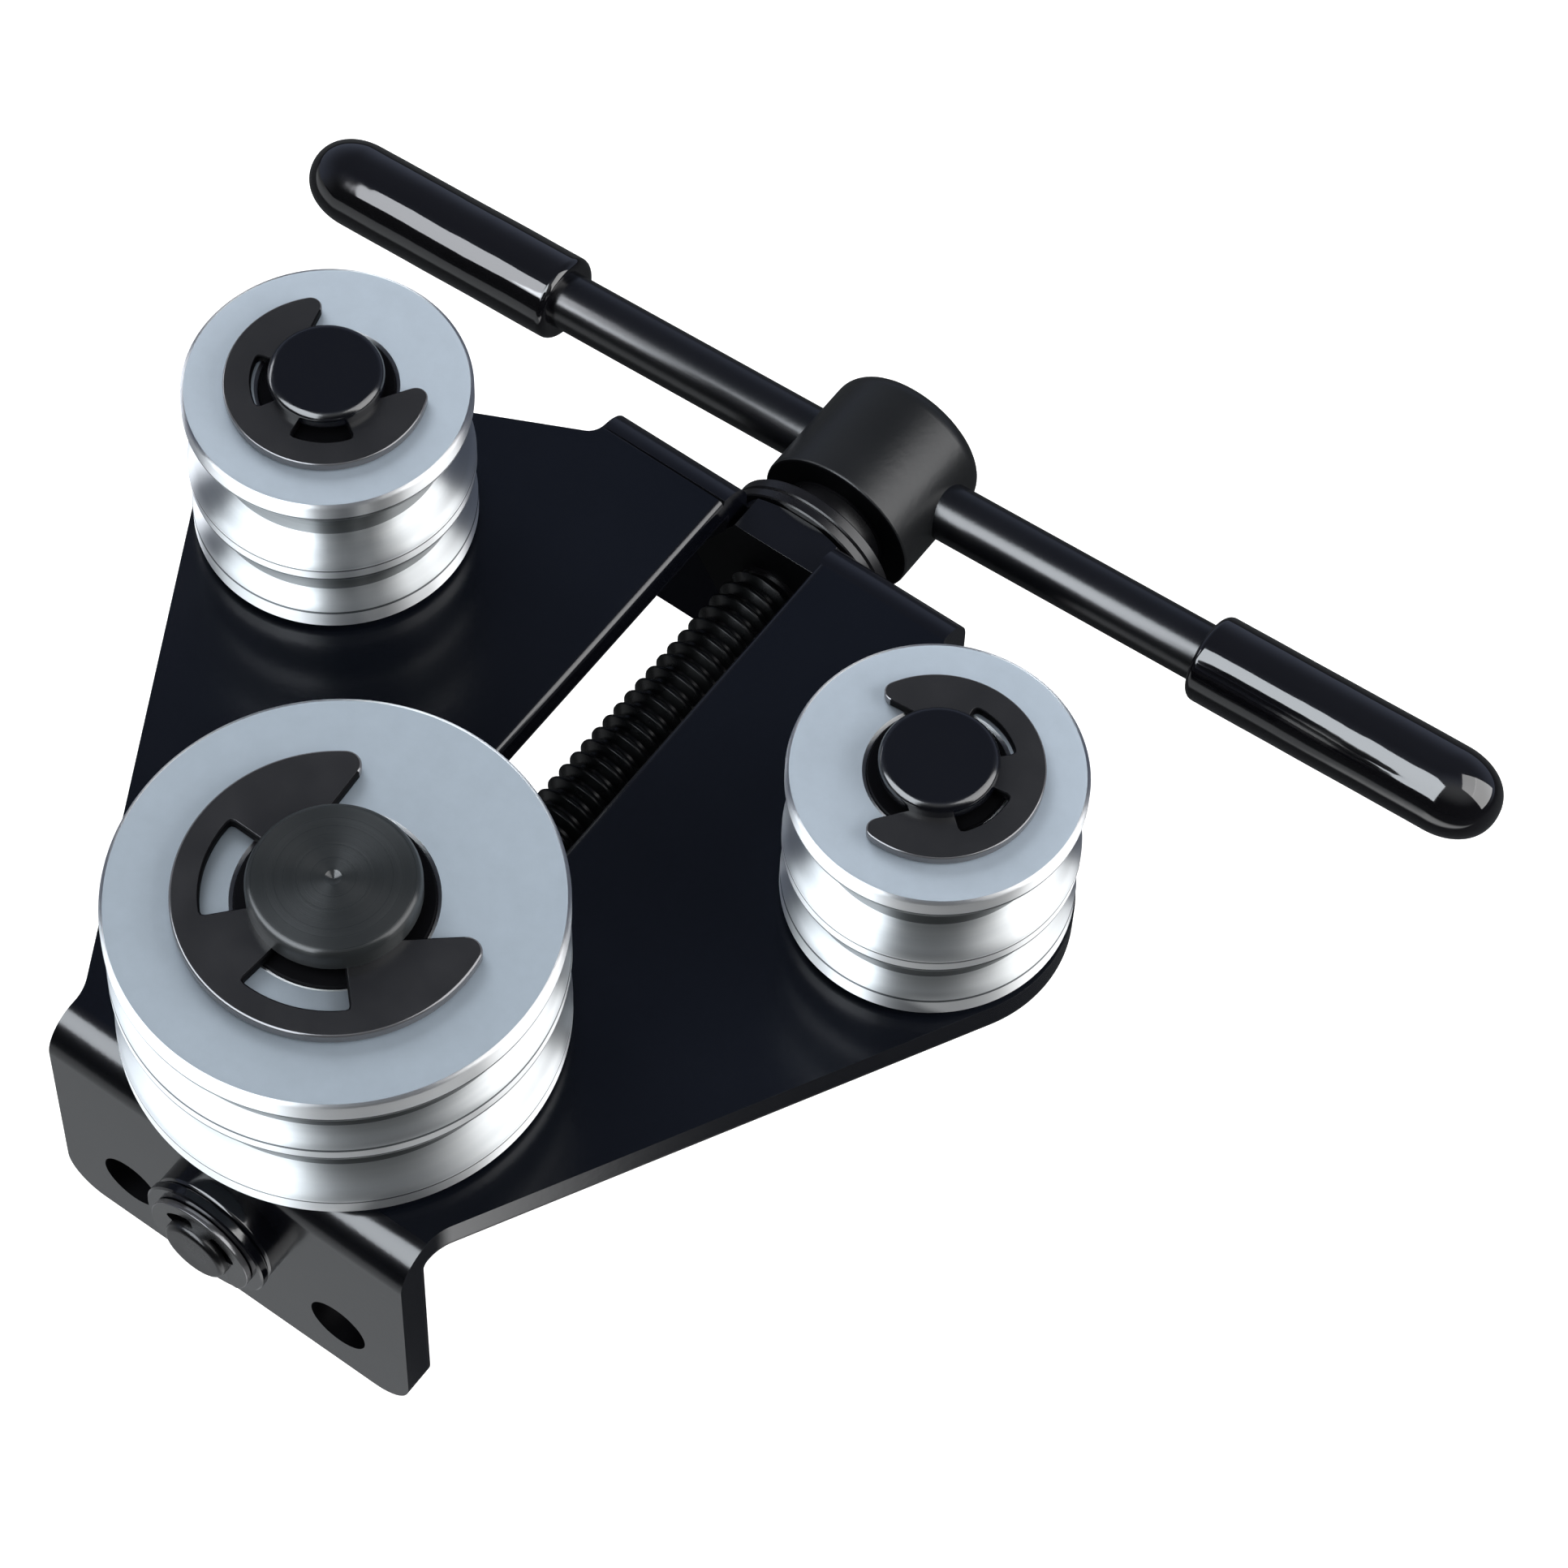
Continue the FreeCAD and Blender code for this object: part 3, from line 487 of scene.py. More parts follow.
PLATE_LENGTH = span("base_plate", "Y")[1]
FRONT_BOTTOM = span("base_plate", "Z")[0]
REAR_BOTTOM = -6.7
SHEET = 4.8
BEND_INSIDE = 1.0
BEND_OUTSIDE = 5.8
HALF_WIDTH = 29.8
PIN_ROUND = 20.2
FRONT_FILLET, FRONT_FILLET_Y = 8.0, 5.9
REAR_FILLET, REAR_FILLET_Y = 3.0, 123.1
FLANGE_ROUND = 6
SLOT_RADIUS = 8.3
SLOT_EDGE = 1.0
HOLE_X, HOLE_RADIUS = 18, 4.6
HEXAGON_CORNER = 13.85
HEXAGON_SEAT = 1.2
# Cutters pass the faces that they cut, so their ends are free
PAST = 2
FRONT_CORNER_CUT, REAR_CORNER_CUT, HOLE_CUT = (-2, 8), (120, 131), (-2, 7)
BELOW, ABOVE, WIDE_BLANK = -30, 60, 75


def tangent(hollow, hollow_r, crown, crown_r, turn):
    """The direction from a hollow arc's centre to where its common tangent with an outer arc
    touches it."""
    dx, dy = crown[0] - hollow[0], crown[1] - hollow[1]
    length = math.hypot(dx, dy)
    inward = (hollow_r + crown_r) / length
    side = math.sqrt(1 - inward * inward) * turn
    x, y = (-inward * dx + side * dy) / length, (-inward * dy - side * dx) / length
    return math.degrees(math.atan2(y, x))


def fold_outline():
    """The plate and its flanges seen from the side."""
    bend = TOP - BEND_OUTSIDE
    front, rear = BEND_OUTSIDE, PLATE_LENGTH - BEND_OUTSIDE
    fold = [(0, FRONT_BOTTOM)]
    fold += arc(front, bend, BEND_OUTSIDE, 180, 90, 24)
    fold += arc(rear, bend, BEND_OUTSIDE, 90, 0, 24)
    fold += [(PLATE_LENGTH, REAR_BOTTOM), (PLATE_LENGTH - SHEET, REAR_BOTTOM)]
    fold += arc(rear, bend, BEND_INSIDE, 0, 90, 12)
    fold += arc(front, bend, BEND_INSIDE, 90, 180, 12)
    return fold + [(SHEET, FRONT_BOTTOM)]


def plan_outline():
    """The plate seen from above: narrow flanges, and a round corner about each pin."""
    front = (HALF_WIDTH + FRONT_FILLET, FRONT_FILLET_Y)
    rear = (HALF_WIDTH + REAR_FILLET, REAR_FILLET_Y)
    pin = (PIN_X, PIN_Y)
    first = tangent(front, FRONT_FILLET, pin, PIN_ROUND, 1)
    last = tangent(rear, REAR_FILLET, pin, PIN_ROUND, -1)
    side = [(HALF_WIDTH, -PAST)]
    side += arc(*front, FRONT_FILLET, 180, 180 + first, 14)
    side += arc(*pin, PIN_ROUND, first, last, 40)
    side += arc(*rear, REAR_FILLET, 180 + last, 180, 10)
    side += [(HALF_WIDTH, PLATE_LENGTH + PAST)]
    return side + [(-x, y) for x, y in reversed(side)]


def round_slot(piece, rear):
    """Rounds the slot's top edge as far as the rear bend."""
    mesh = bmesh.new()
    mesh.from_mesh(piece.data)
    clear_of_bend = 17

    def on_edge(point):
        level = abs(point.z - TOP * MM) < 1e-6
        inside = abs(point.x) < (SLOT_RADIUS + 0.1) * MM
        return level and inside and clear_of_bend * MM < point.y < (rear + 0.1) * MM

    picked = [edge for edge in mesh.edges
              if all(on_edge(vert.co) for vert in edge.verts) and edge.calc_face_angle(0) > 0.7]
    bmesh.ops.bevel(mesh, geom=picked, offset=SLOT_EDGE * MM, segments=5, profile=0.5,
                    affect="EDGES", clamp_overlap=False)
    mesh.to_mesh(piece.data)
    mesh.free()


def base_plate():
    piece = prism("plate", fold_outline(), -WIDE_BLANK, WIDE_BLANK, "X")
    boolean(piece, prism("plan", plan_outline(), BELOW, ABOVE), "INTERSECT")

    edge, soft = HALF_WIDTH, FLANGE_ROUND
    for low, ends in ((FRONT_BOTTOM, FRONT_CORNER_CUT), (REAR_BOTTOM, REAR_CORNER_CUT)):
        for sign in (-1, 1):
            corner = [(edge + PAST, low - 1), (edge + PAST, low + soft)]
            corner += arc(edge - soft, low + soft, soft, 0, -90, 14) + [(edge - soft, low - 1)]
            corner = [(x * sign, z) for x, z in corner]
            boolean(piece, prism("corner", corner, *ends, "Y"))
    bevel(piece, width=1.0, segments=4, angle=40)

    slot = [(SLOT_RADIUS, PLATE_LENGTH + 3), (-SLOT_RADIUS, PLATE_LENGTH + 3)]
    slot += arc(0, AXLE_Y, SLOT_RADIUS, 180, 360, 28)
    boolean(piece, prism("slot", slot, SCREW_Z, ABOVE))
    round_slot(piece, PLATE_LENGTH - BEND_OUTSIDE)
    seat = PLATE_LENGTH - SHEET - HEXAGON_SEAT
    hexagon = circle(0, SCREW_Z, HEXAGON_CORNER, 6)
    boolean(piece, prism("hexagon_hole", hexagon, seat, PLATE_LENGTH + PAST, "Y"))
    for x in (-HOLE_X, HOLE_X):
        boolean(piece, prism("hole", circle(x, 0, HOLE_RADIUS, 40), *HOLE_CUT, "Y"))
    bevel(piece, width=0.35, segments=3, angle=50)

    def choose(face):
        """0 the plate's sides and flanges, 1 its flat top, 2 the mounting holes' walls, in painted
        shade.
        """
        x, y, z = face.center
        if face.normal.z > 0.9999 and z > (TOP - 0.1) * MM:
            return 1
        in_hole = 0.4 * MM < y < (SHEET - 0.4) * MM
        return 2 if in_hole and math.hypot(abs(x) - HOLE_X * MM, z) < 5 * MM else 0

    use_materials(piece, [PLATE, PLATE_TOP, SHADE_BLACK], choose)
    shade(piece.data, 35)
    even_normals(piece)
    settle(piece, "frame", "base_plate")


# Rollers

ROLLER_HEIGHT = ROLLER_TOP - ROLLER_Z
ROLLER_EDGE = 0.5
FACE_INSET = 1.2
WIDE = {"radius": 5.1, "depth": 4.65, "lip": 1.8}
NARROW = {"radius": 3.3, "depth": 2.8, "lip": 1.7}
WIDE_FROM_FACE, NARROW_FROM_FACE = 9.15, 7.7
# The width of the painted shade line along each groove's lip.
BORDER = 0.35
SMALL_BORE, LARGE_BORE = 18.9, 26.3


def half_groove(radius, depth, lip):
    """How far a groove and its rounded lip reach up or down from its middle."""
    return math.sqrt((radius + lip) ** 2 - (radius - depth + lip) ** 2)


def groove(outside, centre, radius, depth, lip):
    """A round groove in a roller's side, from its lower lip to its upper lip."""
    reach = half_groove(radius, depth, lip)
    lean = math.degrees(math.atan2(reach, radius - depth + lip))
    low = arc(outside - lip, centre - reach, lip, 0, lean, 9)
    hollow = arc(outside - depth + radius, centre, radius, 180 + lean, 180 - lean, 26)
    high = arc(outside - lip, centre + reach, lip, -lean, 0, 9)
    return low + hollow[1:-1] + high


def roller(name, diameter, bore, wide_up, x, y, face):
    outside, inside = diameter / 2, bore / 2
    height, edge = ROLLER_HEIGHT, ROLLER_EDGE
    if wide_up:
        runs = [(NARROW_FROM_FACE, NARROW), (height - WIDE_FROM_FACE, WIDE)]
    else:
        runs = [(WIDE_FROM_FACE, WIDE), (height - NARROW_FROM_FACE, NARROW)]
    profile = [(inside, edge), (inside + edge, 0), (outside - FACE_INSET, 0)]
    profile += arc(outside - edge, edge, edge, -90, 0, 4)
    profile += [point for centre, shape in runs for point in groove(outside, centre, **shape)]
    profile += arc(outside - edge, height - edge, edge, 0, 90, 4)
    profile += [(outside - FACE_INSET, height), (inside + edge, height), (inside, height - edge)]

    lip_shade_lines, under_lip_shade = [], []
    for centre, shape in runs:
        reach = half_groove(**shape)
        lip_shade_lines += [(centre + reach - BORDER, centre + reach + 0.05),
                    (centre - reach - 0.05, centre - reach + BORDER)]
        under_lip_shade.append((centre - 0.5 * shape["radius"], centre + reach))

    def within(level, bands):
        return any(low < level < high for low, high in bands)

    def zone(first, second):
        """0 a flat face, 1 a groove, 2 a land or rim in painted highlight, 3 a groove's border in
        painted shade, 4 a groove's upper part in painted shade.
        """
        level = (first[1] + second[1]) / 2
        if abs(first[1] - second[1]) < 1e-6:
            return 0
        if within(level, lip_shade_lines):
            return 3
        if within(level, under_lip_shade):
            return 4
        on_land = min(first[0], second[0]) > outside - 0.1
        return 2 if on_land or not edge < level < height - edge else 1

    lathe(name + "_body", name, name, profile, [face, GROOVE, LIT_LAND, GROOVE_SHADE_LINE, SHADED],
          at=(x, y, ROLLER_Z), steps=224, zone=zone, angle=28)


# Pins and axle

GAP = 0.05


def small_pin(side, sign):
    """A riveted pin with its head under the plate, a clip groove and a rounded tip."""
    head, spigot, bearing, neck, tip = 7.5, 6.0, 9.4, 6.9, 8.0
    bottom, shoulder, clip_top, round_z, top = -6.4, 30.5, 32.0, 33.1, 34.3
    soft = 1.0
    profile = [(0, bottom), (head - soft, bottom)]
    profile += arc(head - soft, bottom + soft, soft, -90, 0, 5)
    profile += [(head, -SHEET), (spigot, -SHEET), (spigot, 0), (bearing, 0),
                (bearing, shoulder - 0.2), (bearing - 0.2, shoulder), (neck, shoulder),
                (neck, clip_top), (tip, clip_top), (tip, round_z)]
    profile += arc(tip - 1.2, round_z, top - round_z, 0, 90, 8)[1:]
    profile += [(0, top)]

    def zone(first, second):
        # Painted shade: below the clip's top the pin is flat black.
        return 1 if max(first[1], second[1]) < clip_top + 0.1 else 0

    lathe(f"{side}_pin", "frame", f"{side}_roller_pin", profile, [PIN, SHADE_BLACK],
          at=(PIN_X * sign, PIN_Y, TOP), steps=128, zone=zone)


def axle():
    """The large roller's axle: a neck in the slot, a bearing, a clip groove and a turned tip."""
    slot_neck, bearing, neck, tip = 8.0, 13.1, 10.2, 11.45
    bottom, shoulder, clip_top, top = -10.1, 30.5, 32.25, 35.8
    profile = [(0, bottom), (slot_neck, bottom), (slot_neck, GAP), (bearing, GAP),
               (bearing, shoulder - 0.2), (bearing - 0.2, shoulder), (neck, shoulder),
               (neck, clip_top), (tip, clip_top), (tip, top - 1.1), (tip - 0.25, top - 0.6)]
    profile += arc(tip - 1.1, top - 0.9, 0.9, 25, 90, 5)
    profile += [(6.0, top), (1.1, top), (0.35, top - 0.5), (0, top - 0.55)]

    def zone(first, second):
        # Painted shade: below the clip's top the axle is flat black.
        return 1 if max(first[1], second[1]) < clip_top + 0.25 else 0

    lathe("axle", "carriage", "large_roller_axle", profile, [AXLE, SHADE_BLACK],
          at=(0, AXLE_Y, TOP), steps=160, zone=zone)


# Retaining clips

def polar(radius, angle):
    return radius * math.cos(math.radians(angle)), radius * math.sin(math.radians(angle))


def clip(name, node_name, body, outside, window, seat, thick, tip, at, turn, edge):
    """A clip with two rounded prongs, three teeth on the groove and two windows. Its mouth
    opens along its own X axis."""
    outer, hollow, inner = outside / 2, window / 2, seat / 2
    nose, mouth, prong, tooth = 57.5, 72.5, 112.0, 161.5

    tip_x, tip_y = polar(outer - tip, nose)
    mouth_x, mouth_y = polar(inner, mouth)
    dx, dy = tip_x - mouth_x, tip_y - mouth_y
    lean = math.degrees(math.atan2(dy, dx) - math.asin(tip / math.hypot(dx, dy)))
    rim = arc(tip_x, tip_y, tip, lean - 90, nose, 10) + arc(0, 0, outer, nose, 180, 60)[1:]

    def window_run(first, last):
        """A window between two teeth, with rounded inner corners."""
        sign = 1 if last > first else -1
        soft = min(0.6, (hollow - inner) * 0.3)
        bite = math.degrees(soft / hollow) * sign
        run = [polar(hollow - soft, first)]
        run += [polar(hollow - soft * 0.25, first + bite * 0.3)]
        run += arc(0, 0, hollow, first + bite, last - bite, 16)
        run += [polar(hollow - soft * 0.25, last - bite * 0.3), polar(hollow - soft, last)]
        return run

    inside = arc(0, 0, inner, 180, tooth, 8)
    inside += window_run(tooth, prong)
    inside += arc(0, 0, inner, prong, mouth + 2, 14)
    inside += [polar(inner + 0.2, mouth)]
    lower_rim = [(x, -y) for x, y in reversed(rim[:-1])]
    lower_inside = [(x, -y) for x, y in reversed(inside[1:])]
    piece = prism(name, rim + lower_rim + lower_inside + inside, 0, thick)
    bevel(piece, width=edge, segments=5, angle=50)

    def choose(face):
        # Painted shade: the walls of the windows and the seat are flat black.
        if abs(face.normal.z) >= 0.97:
            return 0
        return 1 if math.hypot(face.center.x, face.center.y) > (hollow + 0.4) * MM else 2

    use_materials(piece, [SPRING, SPRING_EDGE, SHADE_BLACK], choose)
    shade(piece.data, 40)
    even_normals(piece)
    piece.matrix_world = Matrix.Translation(Vector(at) * MM) @ turn
    settle(piece, body, node_name)


def about_z(angle):
    return Matrix.Rotation(math.radians(angle), 4, "Z")


def clips():
    small = {"outside": 28.2, "window": 20.6, "seat": 13.8, "thick": 1.5, "tip": 1.6, "edge": 0.5}
    for (side, sign), direction in zip(SIDES, (81.4, 209.0)):
        clip(f"{side}_clip", f"{side}_roller_clip", "frame", **small,
             at=(PIN_X * sign, PIN_Y, CLIP_Z), turn=about_z(direction))
    clip("large_clip", "large_roller_clip", "carriage", outside=42.4, window=34.6, seat=20.4,
         thick=1.75, tip=2.2, at=(0, AXLE_Y, CLIP_Z), turn=about_z(67.0), edge=0.55)
    clip("screw_clip", "front_clip", "screw", outside=16.3, window=12.4, seat=8.0, thick=1.0,
         tip=0.8, at=(0, span("front_clip", "Y")[1], SCREW_Z),
         turn=Matrix.Rotation(math.radians(-262.0), 4, "Y") @ UPRIGHT, edge=0.15)


# Lead screw

THREAD_CORE, THREAD_CREST = 5.15, 6.35
THREAD_PITCH = 2.54
THREAD_FRONT, THREAD_REAR = 5.1, 123.0
SCREW_FRONT, SCREW_REAR = span("lead_screw", "Y")


def thread_mesh():
    """A half inch thread with flat crests, fading into the shank at both ends."""
    core, crest, steps = THREAD_CORE, THREAD_CREST, 48
    first, last = THREAD_FRONT, THREAD_REAR
    fade_start, fade_slope = 0.6, 1.1
    shape = [(0.0, core), (0.22, core), (1.02, crest - 0.07), (1.12, crest), (1.42, crest),
             (1.52, crest - 0.07), (2.32, core), (THREAD_PITCH, core)]
    rows = (int((last - first) / THREAD_PITCH) + 2) * steps + 1
    width = len(shape)
    verts, faces = [], []
    for k in range(rows):
        a = 2 * math.pi * k / steps
        start = first - THREAD_PITCH + THREAD_PITCH * k / steps
        for offset, radius in shape:
            y = min(max(start + offset, first), last)
            room = max(min(y - first, last - y), 0)
            r = min(radius, core - fade_start + room * fade_slope)
            verts.append((r * math.cos(a), y, r * math.sin(a)))
    for k in range(rows - 1):
        for j in range(width - 1):
            p = k * width + j
            faces.append((p, p + 1, p + width + 1, p + width))
    mesh = scaled_mesh("thread", verts, faces)
    work = bmesh.new()
    work.from_mesh(mesh)
    bmesh.ops.remove_doubles(work, verts=work.verts, dist=2e-6)
    bmesh.ops.dissolve_degenerate(work, edges=work.edges, dist=2e-6)
    work.to_mesh(mesh)
    work.free()
    return mesh


def lead_screw():
    mesh = thread_mesh()
    mesh.materials.append(THREAD)
    thread = link("thread", mesh)
    mesh.shade_smooth()
    mesh.set_sharp_from_angle(angle=math.radians(50))
    thread.location = (0, 0, SCREW_Z * MM)
    settle(thread, "screw", "lead_screw")

    journal, clip_neck, under_thread, shank, soft = 5.0, 4.0, 4.9, 5.5, 0.8
    clip_front, clip_rear = span("front_clip", "Y")
    profile = [(0, SCREW_FRONT), (journal - soft, SCREW_FRONT)]
    profile += arc(journal - soft, SCREW_FRONT + soft, soft, -90, 0, 5)[1:]
    profile += [(journal, clip_front), (clip_neck, clip_front), (clip_neck, clip_rear),
                (journal, clip_rear), (journal, THREAD_FRONT), (under_thread, THREAD_FRONT),
                (under_thread, THREAD_REAR), (shank, THREAD_REAR), (shank, SCREW_REAR),
                (0, SCREW_REAR)]
    lathe("screw_shank", "screw", "lead_screw", profile, [OXIDE], at=ON_SCREW, turn=ABOUT_Y,
          steps=96)


def carriage_nut():
    """The nut keeps its CAD mesh and takes only a material."""
    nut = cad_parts["carriage_nut"]
    nut.data.materials.clear()
    nut.data.materials.append(OXIDE)


# Bushes and washers

SHANK_BORE = 11.1


def front_bush():
    bore, spigot, outer, soft = 5.05, 7.5, 9.7, 0.7
    front, rear = span("front_bush", "Y")
    profile = [(bore, front), (outer - soft, front)]
    profile += arc(outer - soft, front + soft, soft, -90, 0, 5)[1:]
    profile += [(outer, 0), (spigot, 0), (spigot, rear), (bore, rear)]
    lathe("bush_front", "frame", "front_bush", profile, [PAINT], at=ON_SCREW, turn=ABOUT_Y)


def rear_bush():
    """A hexagonal bush whose outer corners are turned off."""
    front, rear = span("rear_bush", "Y")
    piece = prism("hexagon", circle(0, 0, 13.856, 6), front, rear, "Y")
    flat_end, slope_end, past_corners, past_front = 12.2, 128.2, 15.2, 120
    cone = [(0, rear), (flat_end, rear), (past_corners, slope_end), (past_corners, past_front),
            (0, past_front)]
    boolean(piece, turned_solid("cone", cone, [], turn=ABOUT_Y, steps=96), "INTERSECT")
    bore = circle(0, 0, SHANK_BORE / 2, 64)
    boolean(piece, prism("bore", bore, past_front, rear + 3, "Y"))
    bevel(piece, width=0.4, segments=3, angle=25)
    # Painted shade: the bush's faces that look to the front are flat black.
    use_materials(piece, [BUSH, SHADE_BLACK], lambda face: 1 if face.normal.y < -0.9 else 0)
    shade(piece.data, 30)
    even_normals(piece)
    piece.location = (0, 0, SCREW_Z * MM)
    settle(piece, "frame", "rear_bush")


def roller_washers():
    thick = 0.9
    for side, sign in SIDES:
        ring(f"{side}_washer", "frame", f"{side}_roller_washer", bore=18.8, outside=26.0,
             ends=(0, thick), mat=GROOVE, at=(PIN_X * sign, PIN_Y, TOP))
    ring("large_washer", "carriage", "large_roller_washer", bore=26.2, outside=36.0,
         ends=(GAP, GAP + thick), mat=GROOVE, at=(0, AXLE_Y, TOP))


def front_washer():
    ring("washer_front", "frame", "front_washer", bore=10.1, outside=19.8,
         ends=span("front_washer", "Y"), mat=PAINT, at=ON_SCREW, edge=0.25, turn=ABOUT_Y)


def thrust_washers():
    shared = {"bore": SHANK_BORE, "outside": 26.8, "mat": OXIDE, "at": ON_SCREW, "turn": ABOUT_Y}
    ring("washer_inner", "frame", "inner_thrust_washer", **shared,
         ends=span("inner_thrust_washer", "Y"), edge=0.2)
    ring("washer_outer", "screw", "outer_thrust_washer", **shared,
         ends=span("outer_thrust_washer", "Y"), edge=0.25)


# Handle

HUB_FRONT, HUB_REAR = span("handle_hub", "Y")
BAR_HALF, BAR_RADIUS, BAR_SOFT = 102.5, 4.4, 2.0
GRIP_RADIUS, GRIP_START, DOME_START, DOME_LENGTH = 6.65, 57.25, 97.0, 8.2


def hub():
    """The hub, with a collar on its front face, which is flat black as painted shade, and a round
    rear edge.
    """
    shank, collar, outer, face = 5.5, 8.0, 12.5, 138.7
    bevel_size, front_soft, rear_soft = 0.3, 0.6, 3.0
    profile = [(shank, HUB_FRONT), (collar - bevel_size, HUB_FRONT),
               (collar, HUB_FRONT + bevel_size), (collar, face - bevel_size),
               (collar + bevel_size, face)]
    profile += arc(outer - front_soft, face + front_soft, front_soft, -90, 0, 4)
    profile += arc(outer - rear_soft, HUB_REAR - rear_soft, rear_soft, 0, 90, 10)
    profile += [(0, HUB_REAR), (0, SCREW_REAR), (shank, SCREW_REAR)]

    def zone(first, second):
        if max(first[1], second[1]) > face + 0.2:
            return 0
        # Painted shade: the front face outside the collar is flat black.
        return 2 if max(first[0], second[0]) > collar + 0.2 else 1

    lathe("hub", "screw", "handle_hub", profile, [SATIN, OXIDE, SHADE_BLACK], at=ON_SCREW,
          turn=HANDLE_TURN @ ABOUT_Y, zone=zone)


def bar():
    centre = BAR_RADIUS - BAR_SOFT
    profile = [(0, -BAR_HALF)]
    profile += arc(centre, BAR_SOFT - BAR_HALF, BAR_SOFT, -90, 0, 5)
    profile += arc(centre, BAR_HALF - BAR_SOFT, BAR_SOFT, 0, 90, 5)
    profile += [(0, BAR_HALF)]
    lathe("bar", "screw", "handle_bar", profile, [BAR], at=(0, BAR_Y, SCREW_Z),
          turn=HANDLE_TURN @ ABOUT_X, steps=96)


def grip(side, turn, seed):
    """A dipped skin over one end of the bar: a rounded lip, a straight run and a long dome."""
    lip, lip_x, mouth, straight_start, bluntness, steps = 1.15, 58.4, 5.3, 60, 0.86, 24
    profile = [(BAR_RADIUS, GRIP_START), (mouth, GRIP_START)]
    profile += arc(GRIP_RADIUS - lip, lip_x, lip, -80, 0, 6)
    profile += [(GRIP_RADIUS, straight_start + k) for k in range(38)]
    for k in range(1, steps + 1):
        a = math.radians(90 * k / steps)
        radius = GRIP_RADIUS * math.cos(a) ** bluntness if k < steps else 0
        profile.append((radius, DOME_START + DOME_LENGTH * math.sin(a)))
    centre = BAR_RADIUS - BAR_SOFT
    profile += [(0, BAR_HALF), (centre, BAR_HALF)]
    profile += arc(centre, BAR_HALF - BAR_SOFT, BAR_SOFT, 90, 0, 4)[1:]

    def ripple(radius, height, a):
        """The dip's uneven thickness, a twentieth of a millimetre, but not at its mouth."""
        if radius < 5 and height < 100:
            return 0
        where = Vector((math.cos(a) * 0.9, math.sin(a) * 0.9, height * 0.11 + seed))
        return 0.05 * noise.noise(where) * min(1.0, radius / 5)

    lathe(f"{side}_grip_skin", "screw", f"{side}_grip", profile, [VINYL],
          at=(0, BAR_Y, SCREW_Z), turn=HANDLE_TURN @ turn @ ABOUT_X, steps=96, ripple=ripple)


# Stage, light and camera

FLOOR_Z = -98
FLOOR_HALF = 4000
FLOOR_AHEAD = (0.553, -0.833, 0)
ROOM_FRONT = (0.555, -0.832, 0)


def floor_material():
    """A pale floor: white to the camera, matt to diffuse rays, and in mirrors painted shadow and
    shade behind the front flange, painted shade far ahead of it, and a painted glow to the right
    between."""
    mat = bpy.data.materials.new("floor")
    tree, out = empty_tree(mat, "OutputMaterial")
    path = node(tree, "LightPath")
    grain = speckle(tree, place_of(tree), scale=20.0)
    pale = blend_colour(tree, grain, (0.79, 0.79, 0.79), (0.81, 0.81, 0.81))
    diffuse = node(tree, "BsdfDiffuse", Color=pale).outputs[0]
    lifted = node(tree, "AddShader", _0=diffuse, _1=glow(tree, 0.62)).outputs[0]

    place = node(tree, "TexCoord").outputs["Object"]
    where = node(tree, "SeparateXYZ", Vector=place)
    # Seen in mirrors only: painted shadow and shade behind the front flange, and painted shade far
    # ahead.
    behind = ramp(tree, where.outputs["Y"], -5 * MM, 35 * MM, smooth=True)
    ahead = ramp(tree, along(tree, place, FLOOR_AHEAD), 110 * MM, 190 * MM, smooth=True)
    dark = maths(tree, "MAXIMUM", behind, ahead)
    tone = blend_colour(tree, dark, (0.52, 0.54, 0.56), (0.05, 0.053, 0.056))
    dull = node(tree, "BsdfDiffuse", Color=tone).outputs[0]
    # A painted glow to the right, where the floor is not darkened.
    beside = ramp(tree, where.outputs["X"], 20 * MM, 70 * MM, smooth=True)
    painted_glow = maths(tree, "MULTIPLY", beside, maths(tree, "SUBTRACT", 1.0, dark))
    mirrored = node(tree, "AddShader", _0=dull, _1=glow(tree, painted_glow)).outputs[0]

    unseen = mix_shader(tree, path.outputs["Is Glossy Ray"], diffuse, mirrored)
    seen = mix_shader(tree, path.outputs["Is Camera Ray"], unseen, lifted)
    tree.links.new(seen, out.inputs[0])
    return mat


def floor():
    size = FLOOR_HALF
    corners = [(-size, -size), (size, -size), (size, size), (-size, size)]
    mesh = scaled_mesh("floor", [(x, y, FLOOR_Z) for x, y in corners], [(0, 1, 2, 3)])
    mesh.materials.append(floor_material())
    link("floor", mesh)


